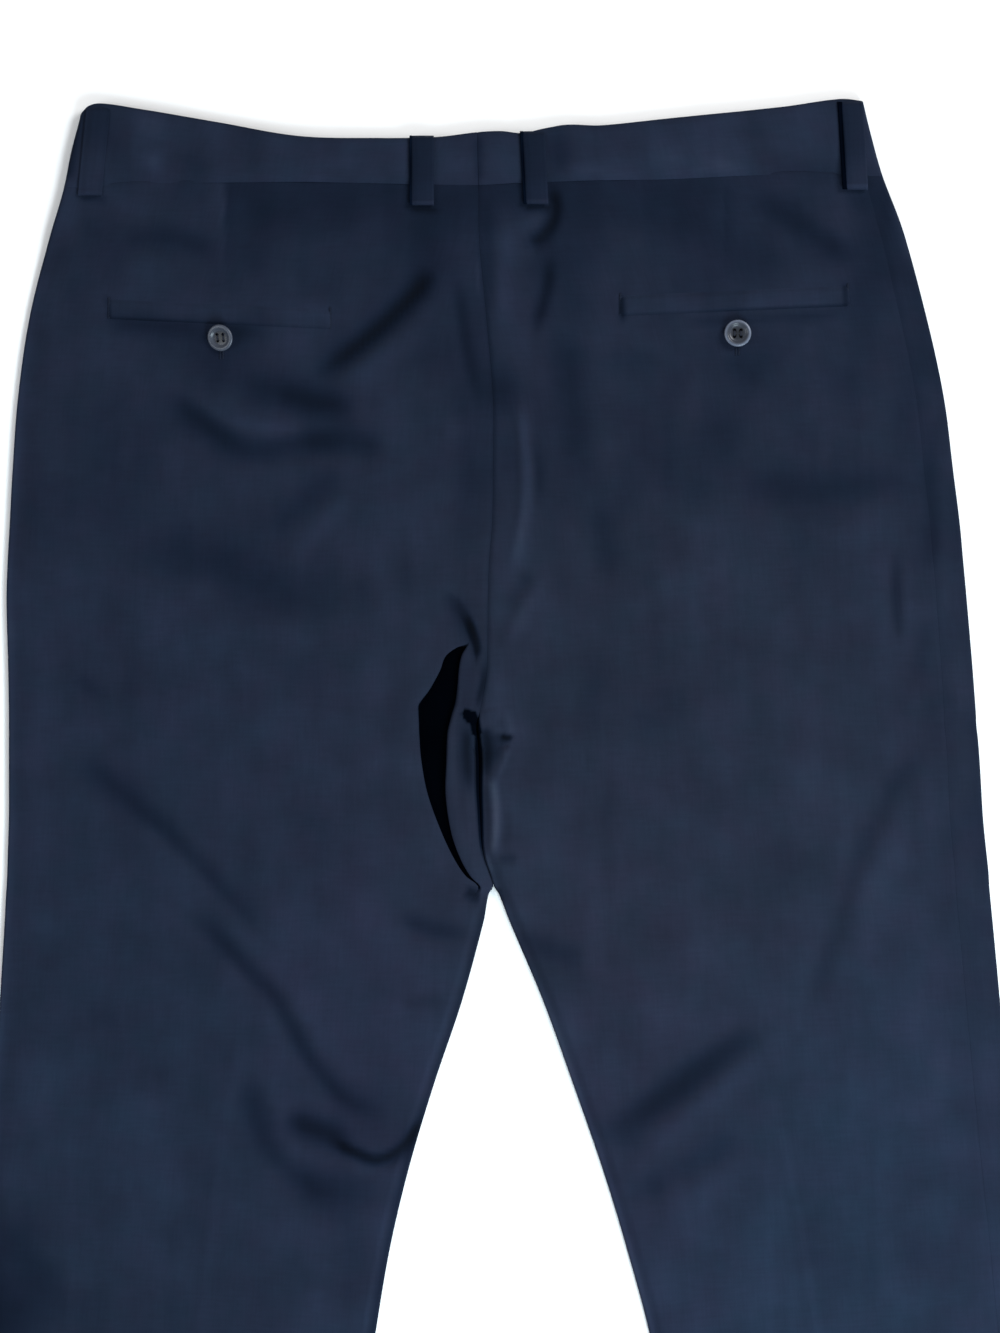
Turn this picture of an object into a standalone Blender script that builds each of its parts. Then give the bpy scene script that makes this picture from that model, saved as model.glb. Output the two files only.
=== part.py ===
"""Men's dress trousers laid flat on a surface, seat side up.

The waist points towards +Y and the surface is z = 0. Lengths in the tables are
millimetres. `x` runs to the right of the seat's centre line, and `drop` runs down
the garment from the highest point of the waistband.

Each leg, and the seat above the crotch point, is a flattened tube. A panel is a
stretch of that tube: it starts and ends at a seam and rolls round a fold where one
lies between them.
"""
from collections import namedtuple
from math import cos, exp, hypot, pi, sin, sqrt

import bmesh
import bpy
from mathutils import Vector

MM = 0.001

# Driving dimensions, in millimetres
CLOTH = 1.2              # panel wall
BAND = 1.6               # waistband wall
TRIM = 1.0               # wall of loops, welts, fly shield and zip
SEAM = 0.3               # gap between pieces that are sewn together
CROTCH = 387.0           # drop of the crotch point, where the four panels meet
CROTCH_EASE = 1.0        # extra gap at the crotch point, where the panels start to roll
FORK = 487.0             # drop of the point where the legs part
HEM = 1087.0             # drop of the hems, at the middle of each leg
HEM_TILT = 0.16          # fall of a hem line towards the inner edge, per mm of width
SEAM_LINE = 50.0         # nominal drop of the seam under the waistband
BAND_TOP = 5.0           # nominal drop of the waistband's upper edge
FRONT_DIP = 4.0          # how far the front's waist edge lies below the back's
HALF_WAIST = 230.0       # width over which it falls by that much
INNER_WRAP = 8.0         # inseam's distance under the inner fold
INNER_EDGE = 6.5         # width beside the centre seam that rolls under below the crotch
WRAP_GROWTH = 24.0       # drop over which the inner fold rolls up, below the crotch
LEFT_WRAP = 15.0         # left side seam's distance under the left fold
LAP = 45.0               # left end of the waistband, lapped over the right one
LAP_CLEAR = 4.0          # where the right end is fully behind it, past the lap
LAP_RISE = 24.0          # width over which the right end climbs behind the left one
CENTRE_X = -9.0          # centre seam at the waist
LOOP_WIDTH = 13.0
LOOP_ARCH = 0.9          # how far a loop stands off the waistband at its middle
WELT_HEIGHT = 13.5
BUTTON_RADIUS = 8.3
BUTTON_HEIGHT = 3.0
FLY_TOP = 74.0           # drop where the zip and its shield start
FLY_LENGTH = 170.0
SHIELD_WIDTH = 52.0
ZIP_WIDTH = 28.0

# Heights of the cloth's middle surface above the surface it lies on
UNDER = 0.6              # front panels
UNDER_WAIST = 2.1        # front panels and waistband at the waist, over the front loops
FOLD_RADIUS = 1.4        # roll at a side or inner fold
WAIST_RADIUS = 1.95      # the same at the waist
TOP = 5.0                # back panels, away from the folds
TOP_WAIST = 6.0          # back panels and waistband at the waist
LOWEST_TOP = 2.6         # deepest trough in a back panel
ROLL = 26.0              # width of the rise from a side fold to the level of the panel
UNDER_RAMP = (66.0, 100.0)  # drops over which the front panels come down from the loops
TOP_RAMP = (75.0, 135.0)   # and the back panels with them

Outline = namedtuple("Outline", "drop left_out left_in right_in right_out")
OUTLINE = (
    Outline(0, -253.5, -9.5, -9.5, 227.5),
    Outline(24, -260.5, -9.5, -9.5, 233.5),
    Outline(50, -265.5, -9.0, -9.0, 241.0),
    Outline(86, -275.5, -8.5, -8.5, 255.0),
    Outline(136, -287.5, -4.0, -4.0, 269.0),
    Outline(185, -294.5, 0.0, 0.0, 279.5),
    Outline(260, -299.5, 0.0, 0.0, 289.0),
    Outline(309, -301.5, 0.0, 0.0, 293.5),
    Outline(350, -300.5, -2.5, -2.5, 297.0),
    Outline(387, -300.0, -6.0, -6.0, 299.5),
    Outline(396, -300.0, -7.8, -5.8, 300.5),
    Outline(409, -300.0, -9.0, -7.0, 301.5),
    Outline(443, -300.0, -8.2, -6.6, 303.5),
    Outline(466, -300.5, -5.8, -4.2, 305.5),
    Outline(487, -301.5, -1.0, 1.0, 307.5),
    Outline(508, -302.5, -5.0, 9.3, 309.5),
    Outline(557, -305.5, -19.2, 31.0, 314.0),
    Outline(607, -308.5, -36.5, 49.5, 318.5),
    Outline(657, -312.0, -52.0, 67.5, 323.0),
    Outline(706, -315.0, -64.0, 83.0, 328.0),
    Outline(763, -318.5, -74.0, 98.5, 333.0),
    Outline(900, -328.5, -97.0, 124.5, 349.5),
    Outline(1110, -343.0, -129.0, 157.0, 371.0),
)

WaistEdge = namedtuple("WaistEdge", "x top seam")
WAIST_EDGE = (
    WaistEdge(-270, 6.0, 54.0),
    WaistEdge(-255, 6.0, 54.0),
    WaistEdge(-243, 2.5, 53.5),
    WaistEdge(-219, 6.0, 52.0),
    WaistEdge(-169, 14.5, 51.0),
    WaistEdge(-120, 23.0, 50.5),
    WaistEdge(-70, 24.0, 51.5),
    WaistEdge(-9, 20.0, 52.5),
    WaistEdge(17, 20.0, 51.0),
    WaistEdge(66, 16.0, 49.5),
    WaistEdge(104, 12.5, 49.0),
    WaistEdge(178, 5.0, 46.0),
    WaistEdge(215, 0.0, 46.5),
    WaistEdge(232, 1.5, 47.0),
    WaistEdge(250, 1.5, 47.0),
)

# The right side seam lies on the top side, this far in from the fold
SideSeam = namedtuple("SideSeam", "drop inset")
RIGHT_SIDE_SEAM = (
    SideSeam(0, 10.0),
    SideSeam(50, 12.0),
    SideSeam(90, 16.0),
    SideSeam(260, 19.0),
    SideSeam(550, 22.0),
    SideSeam(1110, 20.0),
)

# Largest folds of the back panels: a ridge where height is above zero, else a trough.
# Each runs from its start through its middle to its end and fades out there.
Fold = namedtuple("Fold", "x0 drop0 x1 drop1 x2 drop2 half_width height")
FOLDS = (
    # left seat
    Fold(-44, 112, -74, 142, -106, 170, 13, -1.6),
    Fold(-30, 120, -58, 158, -92, 186, 15, 3.4),
    Fold(-205, 180, -152, 214, -70, 212, 17, 3.2),
    Fold(-160, 172, -120, 186, -80, 192, 16, -1.8),
    Fold(-80, 228, -104, 262, -136, 290, 15, -1.8),
    Fold(-62, 236, -86, 270, -116, 300, 17, 3.6),
    Fold(-240, 262, -150, 292, -92, 300, 20, -1.6),
    Fold(-246, 284, -160, 318, -80, 330, 24, 2.6),
    Fold(-235, 92, -205, 82, -170, 92, 16, 2.2),
    # beside the centre seam
    Fold(14, 190, 16, 240, 13, 290, 11, 4.0),
    Fold(5, 106, 6, 136, 5, 166, 10, 2.4),
    Fold(47, 142, 55, 190, 66, 296, 16, -1.6),
    Fold(31, 292, 15, 314, 0, 330, 11, 3.0),
    # right seat
    Fold(160, 240, 200, 236, 245, 232, 20, -1.4),
    Fold(150, 262, 205, 256, 255, 250, 20, 2.2),
    Fold(90, 380, 150, 350, 230, 330, 30, 2.0),
    # beside the deep fold at the crotch
    Fold(-66, 330, -62, 392, -44, 448, 17, 6.5),
    Fold(-30, 340, -34, 398, -22, 462, 12, -2.6),
    Fold(-14, 350, -17, 404, -12, 452, 8, 2.6),
    Fold(10, 370, 8, 414, 8, 455, 9, 3.4),
    # left leg
    Fold(-256, 404, -200, 456, -130, 528, 17, -1.6),
    Fold(-240, 400, -186, 444, -112, 514, 19, 3.4),
    Fold(-146, 520, -108, 572, -78, 622, 15, -1.6),
    Fold(-128, 505, -92, 556, -62, 606, 17, 3.2),
    Fold(-124, 636, -90, 648, -58, 634, 15, -2.0),
    Fold(-150, 598, -110, 668, -66, 668, 17, 3.6),
    Fold(-156, 626, -118, 686, -72, 690, 15, -1.6),
    # right leg
    Fold(164, 578, 118, 606, 68, 634, 16, -2.0),
    Fold(176, 590, 124, 622, 74, 652, 15, 3.6),
    Fold(150, 640, 118, 664, 84, 682, 15, -1.8),
    Fold(156, 656, 124, 680, 92, 700, 15, 2.6),
    Fold(244, 427, 216, 500, 200, 548, 18, 2.4),
)
FOLD_STEPS = 8           # straight steps that follow a fold's curve

# Patches where the pockets' stitching holds the cloth level
Calm = namedtuple("Calm", "x drop half_width half_height")
CALM = (
    Calm(-169, 136, 88, 22),
    Calm(150, 132, 88, 22),
    Calm(-9, 48, 60, 34),
)
CALM_EDGE = 18.0

Loop = namedtuple("Loop", "name x drop length lean")
TOP_LOOPS = (
    Loop("loop_back_left", -43.0, 44.5, 43.0, 0.0),
    Loop("loop_back_right", 26.5, 42.0, 44.0, 0.02),
    Loop("loop_side_left", -247.5, 31.0, 54.0, -0.14),
    Loop("loop_side_right", 224.0, 29.5, 56.0, 0.14),
)
FRONT_LOOPS = (
    Loop("loop_front_left", -132.0, 44.0, 43.0, 0.0),
    Loop("loop_front_right", 112.0, 39.0, 46.0, 0.0),
)

Welt = namedtuple("Welt", "name x0 drop0 x1 drop1")
WELTS = (
    Welt("welt_left", -239.0, 129.0, -99.0, 135.5),
    Welt("welt_right", 77.0, 127.0, 221.0, 121.0),
)

Button = namedtuple("Button", "name x drop")
BUTTONS = (
    Button("button_left", -168.5, 147.5),
    Button("button_right", 151.0, 145.0),
)

# How finely the panels are divided
BACK_ACROSS = 12
FRONT_ACROSS = 6
BAND_ACROSS = 12
BEND_STEPS = 3
ROW_DROPS = (
    50, 64, 80, 98, 116, 134, 152, 170, 188, 206, 224, 244, 264, 284, 304, 324, 346,
    366, 387, 396, 406, 420, 436, 452, 468, 480, 487, 496, 506, 520, 540, 562, 584,
    606, 626, 646, 666, 688, 712, 750, 810, 900, 1000, 1087,
)

# Colours as linear red, green and blue
NAVY = (0.017, 0.027, 0.052)
NAVY_BAND = (0.019, 0.030, 0.056)
SLATE = (0.075, 0.090, 0.125)
BLACK = (0.006, 0.007, 0.010)


def ramp(value, start, end):
    """Return 0 before start and 1 after end, with a soft rise between them."""
    t = min(max((value - start) / (end - start), 0.0), 1.0)
    return t * t * (3.0 - 2.0 * t)


def mix(a, b, t):
    """Return the value that lies the share t of the way from a to b."""
    return a + (b - a) * t


def read(table, key, column, at):
    """Read a column of a table at a value of its key, with a smooth curve through the rows."""
    keys = [getattr(row, key) for row in table]
    values = [getattr(row, column) for row in table]
    if at <= keys[0]:
        return values[0]
    if at >= keys[-1]:
        return values[-1]
    i = max(n for n in range(len(keys) - 1) if keys[n] <= at)

    def slope(n):
        low, high = max(n - 1, 0), min(n + 1, len(keys) - 1)
        return (values[high] - values[low]) / (keys[high] - keys[low])

    span = keys[i + 1] - keys[i]
    t = (at - keys[i]) / span
    start = (2 * t ** 3 - 3 * t ** 2 + 1) * values[i] + (t ** 3 - 2 * t ** 2 + t) * span * slope(i)
    end = (3 * t ** 2 - 2 * t ** 3) * values[i + 1] + (t ** 3 - t ** 2) * span * slope(i + 1)
    return start + end


# ---------------------------------------------------------------- the tube's form

def under_level(drop):
    """Height of the underside layer: it climbs over the front loops at the waist."""
    return mix(UNDER_WAIST, UNDER, ramp(drop, *UNDER_RAMP))


def fold_radius(drop):
    """Radius of the roll at the folds."""
    return mix(WAIST_RADIUS, FOLD_RADIUS, ramp(drop, *TOP_RAMP))


def outer_tip(side, drop):
    """X of the cloth's middle surface at the outer fold."""
    column = "left_out" if side < 0 else "right_out"
    return read(OUTLINE, "drop", column, drop) - side * CLOTH / 2


def inner_tip(side, drop):
    """X of the middle surface at the inner fold, or of the centre seam above the crotch."""
    column = "left_in" if side < 0 else "right_in"
    edge = read(OUTLINE, "drop", column, drop)
    return edge + side * CLOTH / 2 if drop > CROTCH else edge


def bezier(a, b, c, t):
    """Point of a curve that passes through a, b and c."""
    control = 2 * b - (a + c) / 2
    return (1 - t) ** 2 * a + 2 * t * (1 - t) * control + t * t * c


def fold_height(x, drop):
    """Sum of the folds' heights at a place on the back."""
    total = 0.0
    for fold in FOLDS:
        best = None
        for step in range(FOLD_STEPS + 1):
            t = step / FOLD_STEPS
            away = hypot(x - bezier(fold.x0, fold.x1, fold.x2, t),
                         drop - bezier(fold.drop0, fold.drop1, fold.drop2, t))
            if best is None or away < best[0]:
                best = (away, t)
        away, t = best
        fade = sqrt(max(sin(pi * mix(0.12, 0.88, t)), 0.0))
        total += fold.height * fade * exp(-(away / fold.half_width) ** 2)
    return total


def calm(x, drop):
    """Return 0 inside the level patches and 1 away from them."""
    share = 1.0
    for patch in CALM:
        outside = hypot(max(abs(x - patch.x) - patch.half_width, 0.0),
                        max(abs(drop - patch.drop) - patch.half_height, 0.0))
        share *= ramp(outside, 0.0, CALM_EDGE)
    return share


def top_level(side, x, drop):
    """Height of the back's middle surface."""
    edge = under_level(drop) + 2 * fold_radius(drop)
    open_share = ramp(abs(x - outer_tip(side, drop)), fold_radius(drop), ROLL)
    inner_share = ramp(abs(x - inner_tip(side, drop)), fold_radius(drop), ROLL * 0.6)
    open_share *= mix(1.0, inner_share, ramp(drop, CROTCH, CROTCH + 20))
    level = mix(edge, mix(TOP_WAIST, TOP, ramp(drop, *TOP_RAMP)), open_share)
    level += fold_height(x, drop) * open_share * calm(x, drop) * ramp(drop, SEAM_LINE, 80)
    return max(level, LOWEST_TOP + under_level(drop) - UNDER)


def around(side, drop, run):
    """Place on a tube's section.

    `run` is the distance along the cloth from the outer fold's tip: above zero on the
    top side, towards the inner edge, and below zero on the underside.
    """
    radius = fold_radius(drop)
    quarter = pi * radius / 2
    tip = outer_tip(side, drop)
    under = under_level(drop)
    if run < -quarter:
        return tip - side * (radius - run - quarter), under
    if run <= quarter:
        angle = run / radius
        return tip - side * radius * (1 - cos(angle)), under + radius * (1 + sin(angle))
    x = tip - side * (radius + run - quarter)
    inner = inner_tip(side, drop)
    past = (inner + side * radius - x) * side
    if drop <= CROTCH or past <= 0:
        return x, top_level(side, x, drop)
    angle = past / radius
    if angle <= pi:
        bend_x = inner + side * radius * (1 - sin(angle))
        return bend_x, under + radius * (1 + cos(angle))
    return inner + side * (radius + past - pi * radius), under


def top_run(side, drop):
    """Distance along the section from the outer tip to the inner fold, or centre seam."""
    radius = fold_radius(drop)
    width = abs(inner_tip(side, drop) - outer_tip(side, drop))
    if drop <= CROTCH:
        return pi * radius / 2 + width - radius
    return pi * radius / 2 + width - 2 * radius


def inner_wrap(drop):
    """Distance from the inner fold's start on the top side to the inseam under it."""
    grow = ramp(drop, CROTCH, CROTCH + WRAP_GROWTH)
    return grow * (pi * fold_radius(drop) + INNER_WRAP - fold_radius(drop))


def place(side, drop, x, z):
    """Turn a section's x and z into a point, with the hem and waist lines' slants."""
    centre = (outer_tip(side, drop) + inner_tip(side, drop)) / 2
    tilt = HEM_TILT * ramp(drop, FORK, HEM)
    waist = read(WAIST_EDGE, "x", "seam", x) - SEAM_LINE
    y = -(drop - side * tilt * (x - centre) + waist * (1 - ramp(drop, SEAM_LINE, 130)))
    return Vector((x, y, z)) * MM


def back_surface(side, x, drop, above=0.0):
    """Point over the back panel, moved out from its middle surface."""
    step = 2.0
    rise_x = (top_level(side, x + step, drop) - top_level(side, x - step, drop)) / (2 * step)
    rise_y = (top_level(side, x, drop - step) - top_level(side, x, drop + step)) / (2 * step)
    normal = Vector((-rise_x, -rise_y, 1.0)).normalized()
    point = place(side, drop, x, top_level(side, x, drop))
    return point + normal * above * MM


# ------------------------------------------------------------------ Blender helpers

def finish(name, colour, roughness):
    """Make a plain Principled material."""
    material = bpy.data.materials.new(name)
    material.use_nodes = True
    shader = material.node_tree.nodes["Principled BSDF"]
    shader.inputs["Base Color"].default_value = (*colour, 1.0)
    shader.inputs["Roughness"].default_value = roughness
    shader.inputs["Metallic"].default_value = 0.0
    return material


def add_object(name, mesh, colour, roughness, parent):
    """Link a mesh as a named object with its own material, under the origin empty."""
    mesh.materials.append(finish(name, colour, roughness))
    mesh.shade_smooth()
    piece = bpy.data.objects.new(name, mesh)
    piece.parent = parent
    parent.users_collection[0].objects.link(piece)
    return piece


def cloth(name, across, along, surface, wall, parent, colour=NAVY):
    """Shape a grid with a surface function of its column and row, then thicken it."""
    grid = bmesh.new()
    bmesh.ops.create_grid(grid, x_segments=across, y_segments=along, size=0.5)
    for vert in grid.verts:
        column = round((vert.co.x + 0.5) * across)
        row = round((vert.co.y + 0.5) * along)
        vert.co = surface(column, row)
    mesh = bpy.data.meshes.new(name)
    grid.to_mesh(mesh)
    grid.free()
    piece = add_object(name, mesh, colour, 0.85, parent)
    wall_maker = piece.modifiers.new("Wall", "SOLIDIFY")
    wall_maker.thickness = wall * MM
    wall_maker.offset = 0.0
    wall_maker.use_even_offset = True
    wall_maker.use_quality_normals = True
    return piece


# -------------------------------------------------------------------------- pieces

def bend_stops(radius):
    """Runs at the steps of an outer fold, from the underside to the top side."""
    quarter = pi * radius / 2
    return [mix(-quarter, quarter, step / BEND_STEPS) for step in range(BEND_STEPS + 1)]


def inner_stops(side, drop):
    """Runs from the start of the inner fold to the inseam, or to the centre seam."""
    end = top_run(side, drop)
    if drop <= CROTCH:
        start = end - INNER_EDGE
        end -= (SEAM + CROTCH_EASE * ramp(drop, CROTCH - 25, CROTCH)) / 2
        return [mix(start, end, step / (BEND_STEPS + 1)) for step in range(BEND_STEPS + 2)]
    wrap = inner_wrap(drop)
    half_turn = min(pi * fold_radius(drop), wrap * BEND_STEPS / (BEND_STEPS + 1))
    stops = [end + half_turn * step / BEND_STEPS for step in range(BEND_STEPS + 1)]
    return stops + [end + wrap]


def spread(start, end, count):
    """Runs between two stops, closer together towards the end."""
    return [end + (start - end) * (1 - step / count) ** 1.3 for step in range(1, count)]


def back_stops(side, drop):
    """Runs of a back panel's columns, from the side seam to its inner seam."""
    inner = inner_stops(side, drop)
    if side < 0:
        outer = [-LEFT_WRAP] + bend_stops(fold_radius(drop))
    else:
        outer = [read(RIGHT_SIDE_SEAM, "drop", "inset", drop)]
    return outer + spread(outer[-1], inner[0], BACK_ACROSS) + inner


def make_back(name, side, parent):
    """Back panel, from the waistband to the hem."""
    columns = len(back_stops(side, CROTCH)) - 1

    def surface(column, row):
        drop = ROW_DROPS[row]
        x, z = around(side, drop, back_stops(side, drop)[column])
        return place(side, drop, x, z)

    return cloth(name, columns, len(ROW_DROPS) - 1, surface, CLOTH, parent)


def front_inner_x(side, drop):
    """X of the front panel's inner seam on the underside."""
    if drop <= CROTCH:
        return inner_tip(side, drop) + side * SEAM / 2
    radius = fold_radius(drop)
    wrap = max(inner_wrap(drop) - pi * radius, 0.0)
    settle = ramp(drop, CROTCH, CROTCH + 8) - ramp(drop, CROTCH + 8, CROTCH + 32)
    return inner_tip(side, drop) + side * (radius + wrap + SEAM + CROTCH_EASE * settle)


def make_front(name, side, parent):
    """Front panel: the right one rolls round the fold onto the top side."""
    def stops(drop):
        radius = fold_radius(drop)
        tip = outer_tip(side, drop)
        if side < 0:
            rolled = [-LEFT_WRAP - SEAM]
        else:
            seam = read(RIGHT_SIDE_SEAM, "drop", "inset", drop)
            rolled = [seam - SEAM, mix(pi * radius / 2, seam, 0.5)] + bend_stops(radius)[::-1]
        inner_run = -(abs(tip - front_inner_x(side, drop)) - radius + pi * radius / 2)
        start = rolled[-1]
        level = [mix(start, inner_run, step / FRONT_ACROSS) for step in range(1, FRONT_ACROSS + 1)]
        return rolled + level

    columns = len(stops(CROTCH)) - 1

    def surface(column, row):
        drop = ROW_DROPS[row]
        x, z = around(side, drop, stops(drop)[column])
        point = place(side, drop, x, z)
        dip = front_dip(x, z) * (1 - ramp(drop, SEAM_LINE, 100))
        return point - Vector((0, dip * MM, 0))

    return cloth(name, columns, len(ROW_DROPS) - 1, surface, CLOTH, parent)


def front_dip(x, z):
    """How far the waist line lies lower on the underside, away from the side folds."""
    if z > UNDER_WAIST + WAIST_RADIUS:
        return 0.0
    inwards = min(abs(x - outer_tip(end, SEAM_LINE)) for end in (-1, 1)) - LEFT_WRAP
    return FRONT_DIP * max(inwards, 0.0) / HALF_WAIST


def band_point(side, run, share):
    """Point of the waistband: share 0 is its upper edge and 1 its lower one."""
    drop = mix(BAND_TOP, SEAM_LINE, share)
    x, z = around(side, drop, run)
    top = read(WAIST_EDGE, "x", "top", x)
    seam = read(WAIST_EDGE, "x", "seam", x) - SEAM
    return x, -mix(top, seam, share) - front_dip(x, z), z


def make_waistband(name, side, parent):
    """Half of the waistband, from the centre-back seam round the fold to the front."""
    rows = 3
    lap = LAP if side < 0 else 0.0

    def stops(drop):
        radius = fold_radius(drop)
        back_end = top_run(side, drop) - SEAM / 2
        front_end = -(abs(outer_tip(side, drop) - inner_tip(side, drop)) - radius
                      + pi * radius / 2 + lap)
        bend = bend_stops(radius)[::-1]
        top = [mix(back_end, bend[0], step / BAND_ACROSS) for step in range(BAND_ACROSS)]
        under = [mix(bend[-1], front_end, step / BAND_ACROSS) for step in range(1, BAND_ACROSS + 1)]
        return top + bend + under

    columns = len(stops(BAND_TOP)) - 1

    def surface(column, row):
        share = row / rows
        run = stops(mix(BAND_TOP, SEAM_LINE, share))[column]
        x, y, z = band_point(side, run, share)
        if side > 0 and z <= UNDER_WAIST:
            clear = abs(x - inner_tip(side, SEAM_LINE)) - LAP - LAP_CLEAR
            z += (BAND + SEAM) * (1 - ramp(clear, 0, LAP_RISE))
        return Vector((x, y, z)) * MM

    return cloth(name, columns, rows, surface, BAND, parent, NAVY_BAND)


def make_top_loop(loop, parent):
    """Belt loop that stands on the back of the waistband, arched a little off it."""
    rows = 8
    side = -1 if loop.x < CENTRE_X else 1

    def surface(column, row):
        share = row / rows
        drop = loop.drop + (share - 0.5) * loop.length
        x = loop.x + (column - 0.5) * LOOP_WIDTH + loop.lean * (drop - loop.drop)
        arch = LOOP_ARCH * sin(pi * share)
        base = max(top_level(side, x, drop), top_level(side, x, SEAM_LINE))
        z = base + BAND / 2 + SEAM + TRIM / 2 + arch
        return Vector((x, -drop, z)) * MM

    return cloth(loop.name, 1, rows, surface, TRIM, parent)


def make_front_loop(loop, parent):
    """Belt loop on the front of the waistband, flat between it and the surface."""
    def surface(column, row):
        drop = loop.drop + (row / 4 - 0.5) * loop.length
        x = loop.x + (column - 0.5) * LOOP_WIDTH
        return Vector((x, -drop, TRIM / 2)) * MM

    return cloth(loop.name, 1, 4, surface, TRIM, parent)


def make_welt(welt, parent):
    """Welt of a back pocket, laid on the panel from the panel's own points."""
    across, rows = 12, 2
    side = -1 if welt.x0 < 0 else 1
    above = CLOTH / 2 + SEAM + TRIM / 2

    def surface(column, row):
        share = column / across
        x = mix(welt.x0, welt.x1, share)
        drop = mix(welt.drop0, welt.drop1, share) + (row / rows - 0.5) * WELT_HEIGHT
        return back_surface(side, x, drop, above)

    return cloth(welt.name, across, rows, surface, TRIM, parent)


def make_button(button, parent):
    """Four-hole button: a turned rim and dished middle, with its holes cut through."""
    side = -1 if button.x < 0 else 1
    seat = back_surface(side, button.x, button.drop, CLOTH / 2 + SEAM)
    radius, height = BUTTON_RADIUS, BUTTON_HEIGHT
    profile = (
        (0.0, 0.55 * height), (0.55 * radius, 0.55 * height), (0.72 * radius, height),
        (0.88 * radius, height), (radius, 0.7 * height), (radius, 0.4 * height),
        (0.7 * radius, 0.0), (0.0, 0.0),
    )
    mesh = bpy.data.meshes.new(button.name)
    points = [(r * MM, 0.0, z * MM) for r, z in profile]
    mesh.from_pydata(points, [(n, n + 1) for n in range(len(points) - 1)], [])
    piece = add_object(button.name, mesh, SLATE, 0.35, parent)
    piece.location = seat
    turn = piece.modifiers.new("Turn", "SCREW")
    turn.angle = 2 * pi
    turn.screw_offset = 0.0
    turn.steps = turn.render_steps = 20
    turn.use_merge_vertices = True
    turn.merge_threshold = 0.00001
    turn.use_normal_calculate = True
    hole_circle, hole_radius = 0.24 * radius, 0.1 * radius
    for quarter in range(4):
        angle = pi / 4 + quarter * pi / 2
        cutter = make_cutter(f"{button.name}_hole_{quarter + 1}", hole_radius, parent)
        cutter.location = seat + Vector((cos(angle), sin(angle), 0)) * hole_circle * MM
        cut = piece.modifiers.new(f"Hole {quarter + 1}", "BOOLEAN")
        cut.object = cutter
        cut.operation = "DIFFERENCE"
    return piece


def make_cutter(name, radius, parent):
    """Upright cylinder that cuts a thread hole."""
    mesh = bpy.data.meshes.new(name)
    form = bmesh.new()
    bmesh.ops.create_cone(form, cap_ends=True, segments=6, radius1=radius * MM,
                          radius2=radius * MM, depth=4 * BUTTON_HEIGHT * MM)
    form.to_mesh(mesh)
    form.free()
    cutter = bpy.data.objects.new(name, mesh)
    cutter.parent = parent
    cutter.hide_render = True
    cutter.display_type = "WIRE"
    bpy.data.collections["cutters"].objects.link(cutter)
    return cutter


def make_fly_strip(name, width, length, offset, below, parent, colour):
    """Plain strip behind the fly, following the front panel's inner surface."""
    rows = 8

    def surface(column, row):
        drop = FLY_TOP + row / rows * length
        x = inner_tip(-1, drop) + offset + (column / 2 - 0.5) * width
        z = under_level(drop) + CLOTH / 2 + below + TRIM / 2
        return Vector((x, -drop, z)) * MM

    return cloth(name, 2, rows, surface, TRIM, parent, colour)


# ------------------------------------------------------------------------- assembly

def clear_scene():
    """Remove what the file opened with."""
    for item in list(bpy.data.objects):
        bpy.data.objects.remove(item)


def new_collection(name):
    """Make a collection in the scene."""
    collection = bpy.data.collections.new(name)
    bpy.context.scene.collection.children.link(collection)
    return collection


def centre_on_floor(origin, pieces):
    """Move the origin empty so that the garment's box is centred over the world's origin."""
    bpy.context.view_layer.update()
    graph = bpy.context.evaluated_depsgraph_get()
    corners = []
    for piece in pieces:
        evaluated = piece.evaluated_get(graph)
        corners += [evaluated.matrix_world @ Vector(corner) for corner in evaluated.bound_box]
    low = [min(corner[axis] for corner in corners) for axis in range(3)]
    high = [max(corner[axis] for corner in corners) for axis in range(3)]
    origin.location = (-(low[0] + high[0]) / 2, -(low[1] + high[1]) / 2, -low[2])


def main():
    """Build the trousers."""
    clear_scene()
    trousers = new_collection("dress trousers")
    new_collection("cutters")
    origin = bpy.data.objects.new("origin", None)
    trousers.objects.link(origin)
    pieces = []
    for side, word in ((-1, "left"), (1, "right")):
        pieces.append(make_back(f"back_{word}", side, origin))
        pieces.append(make_front(f"front_{word}", side, origin))
        pieces.append(make_waistband(f"waistband_{word}", side, origin))
    pieces += [make_top_loop(loop, origin) for loop in TOP_LOOPS]
    pieces += [make_front_loop(loop, origin) for loop in FRONT_LOOPS]
    pieces += [make_welt(welt, origin) for welt in WELTS]
    pieces += [make_button(button, origin) for button in BUTTONS]
    pieces.append(make_fly_strip("zip", ZIP_WIDTH, FLY_LENGTH, 4, SEAM, origin, BLACK))
    pieces.append(make_fly_strip("fly_shield", SHIELD_WIDTH, FLY_LENGTH + 10, 8,
                                 2 * SEAM + TRIM, origin, NAVY))
    centre_on_floor(origin, pieces)


main()
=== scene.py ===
"""Looks of a pair of men's dress trousers laid flat, seat side up.

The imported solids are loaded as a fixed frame, and each one is covered by a fine shell
of cloth, a turned button or sewn detail that stands for it.

Lengths in the classes and tables are millimetres on the garment: `x` runs to the right
from about the fork between the legs, `drop` runs down from the highest point of the
waistband, and heights are above the surface that the trousers lie on. `Lay.to_frame`
turns them into the frame's metres.
"""
from __future__ import annotations

import logging
import math
from dataclasses import dataclass, field
from enum import Enum

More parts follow.
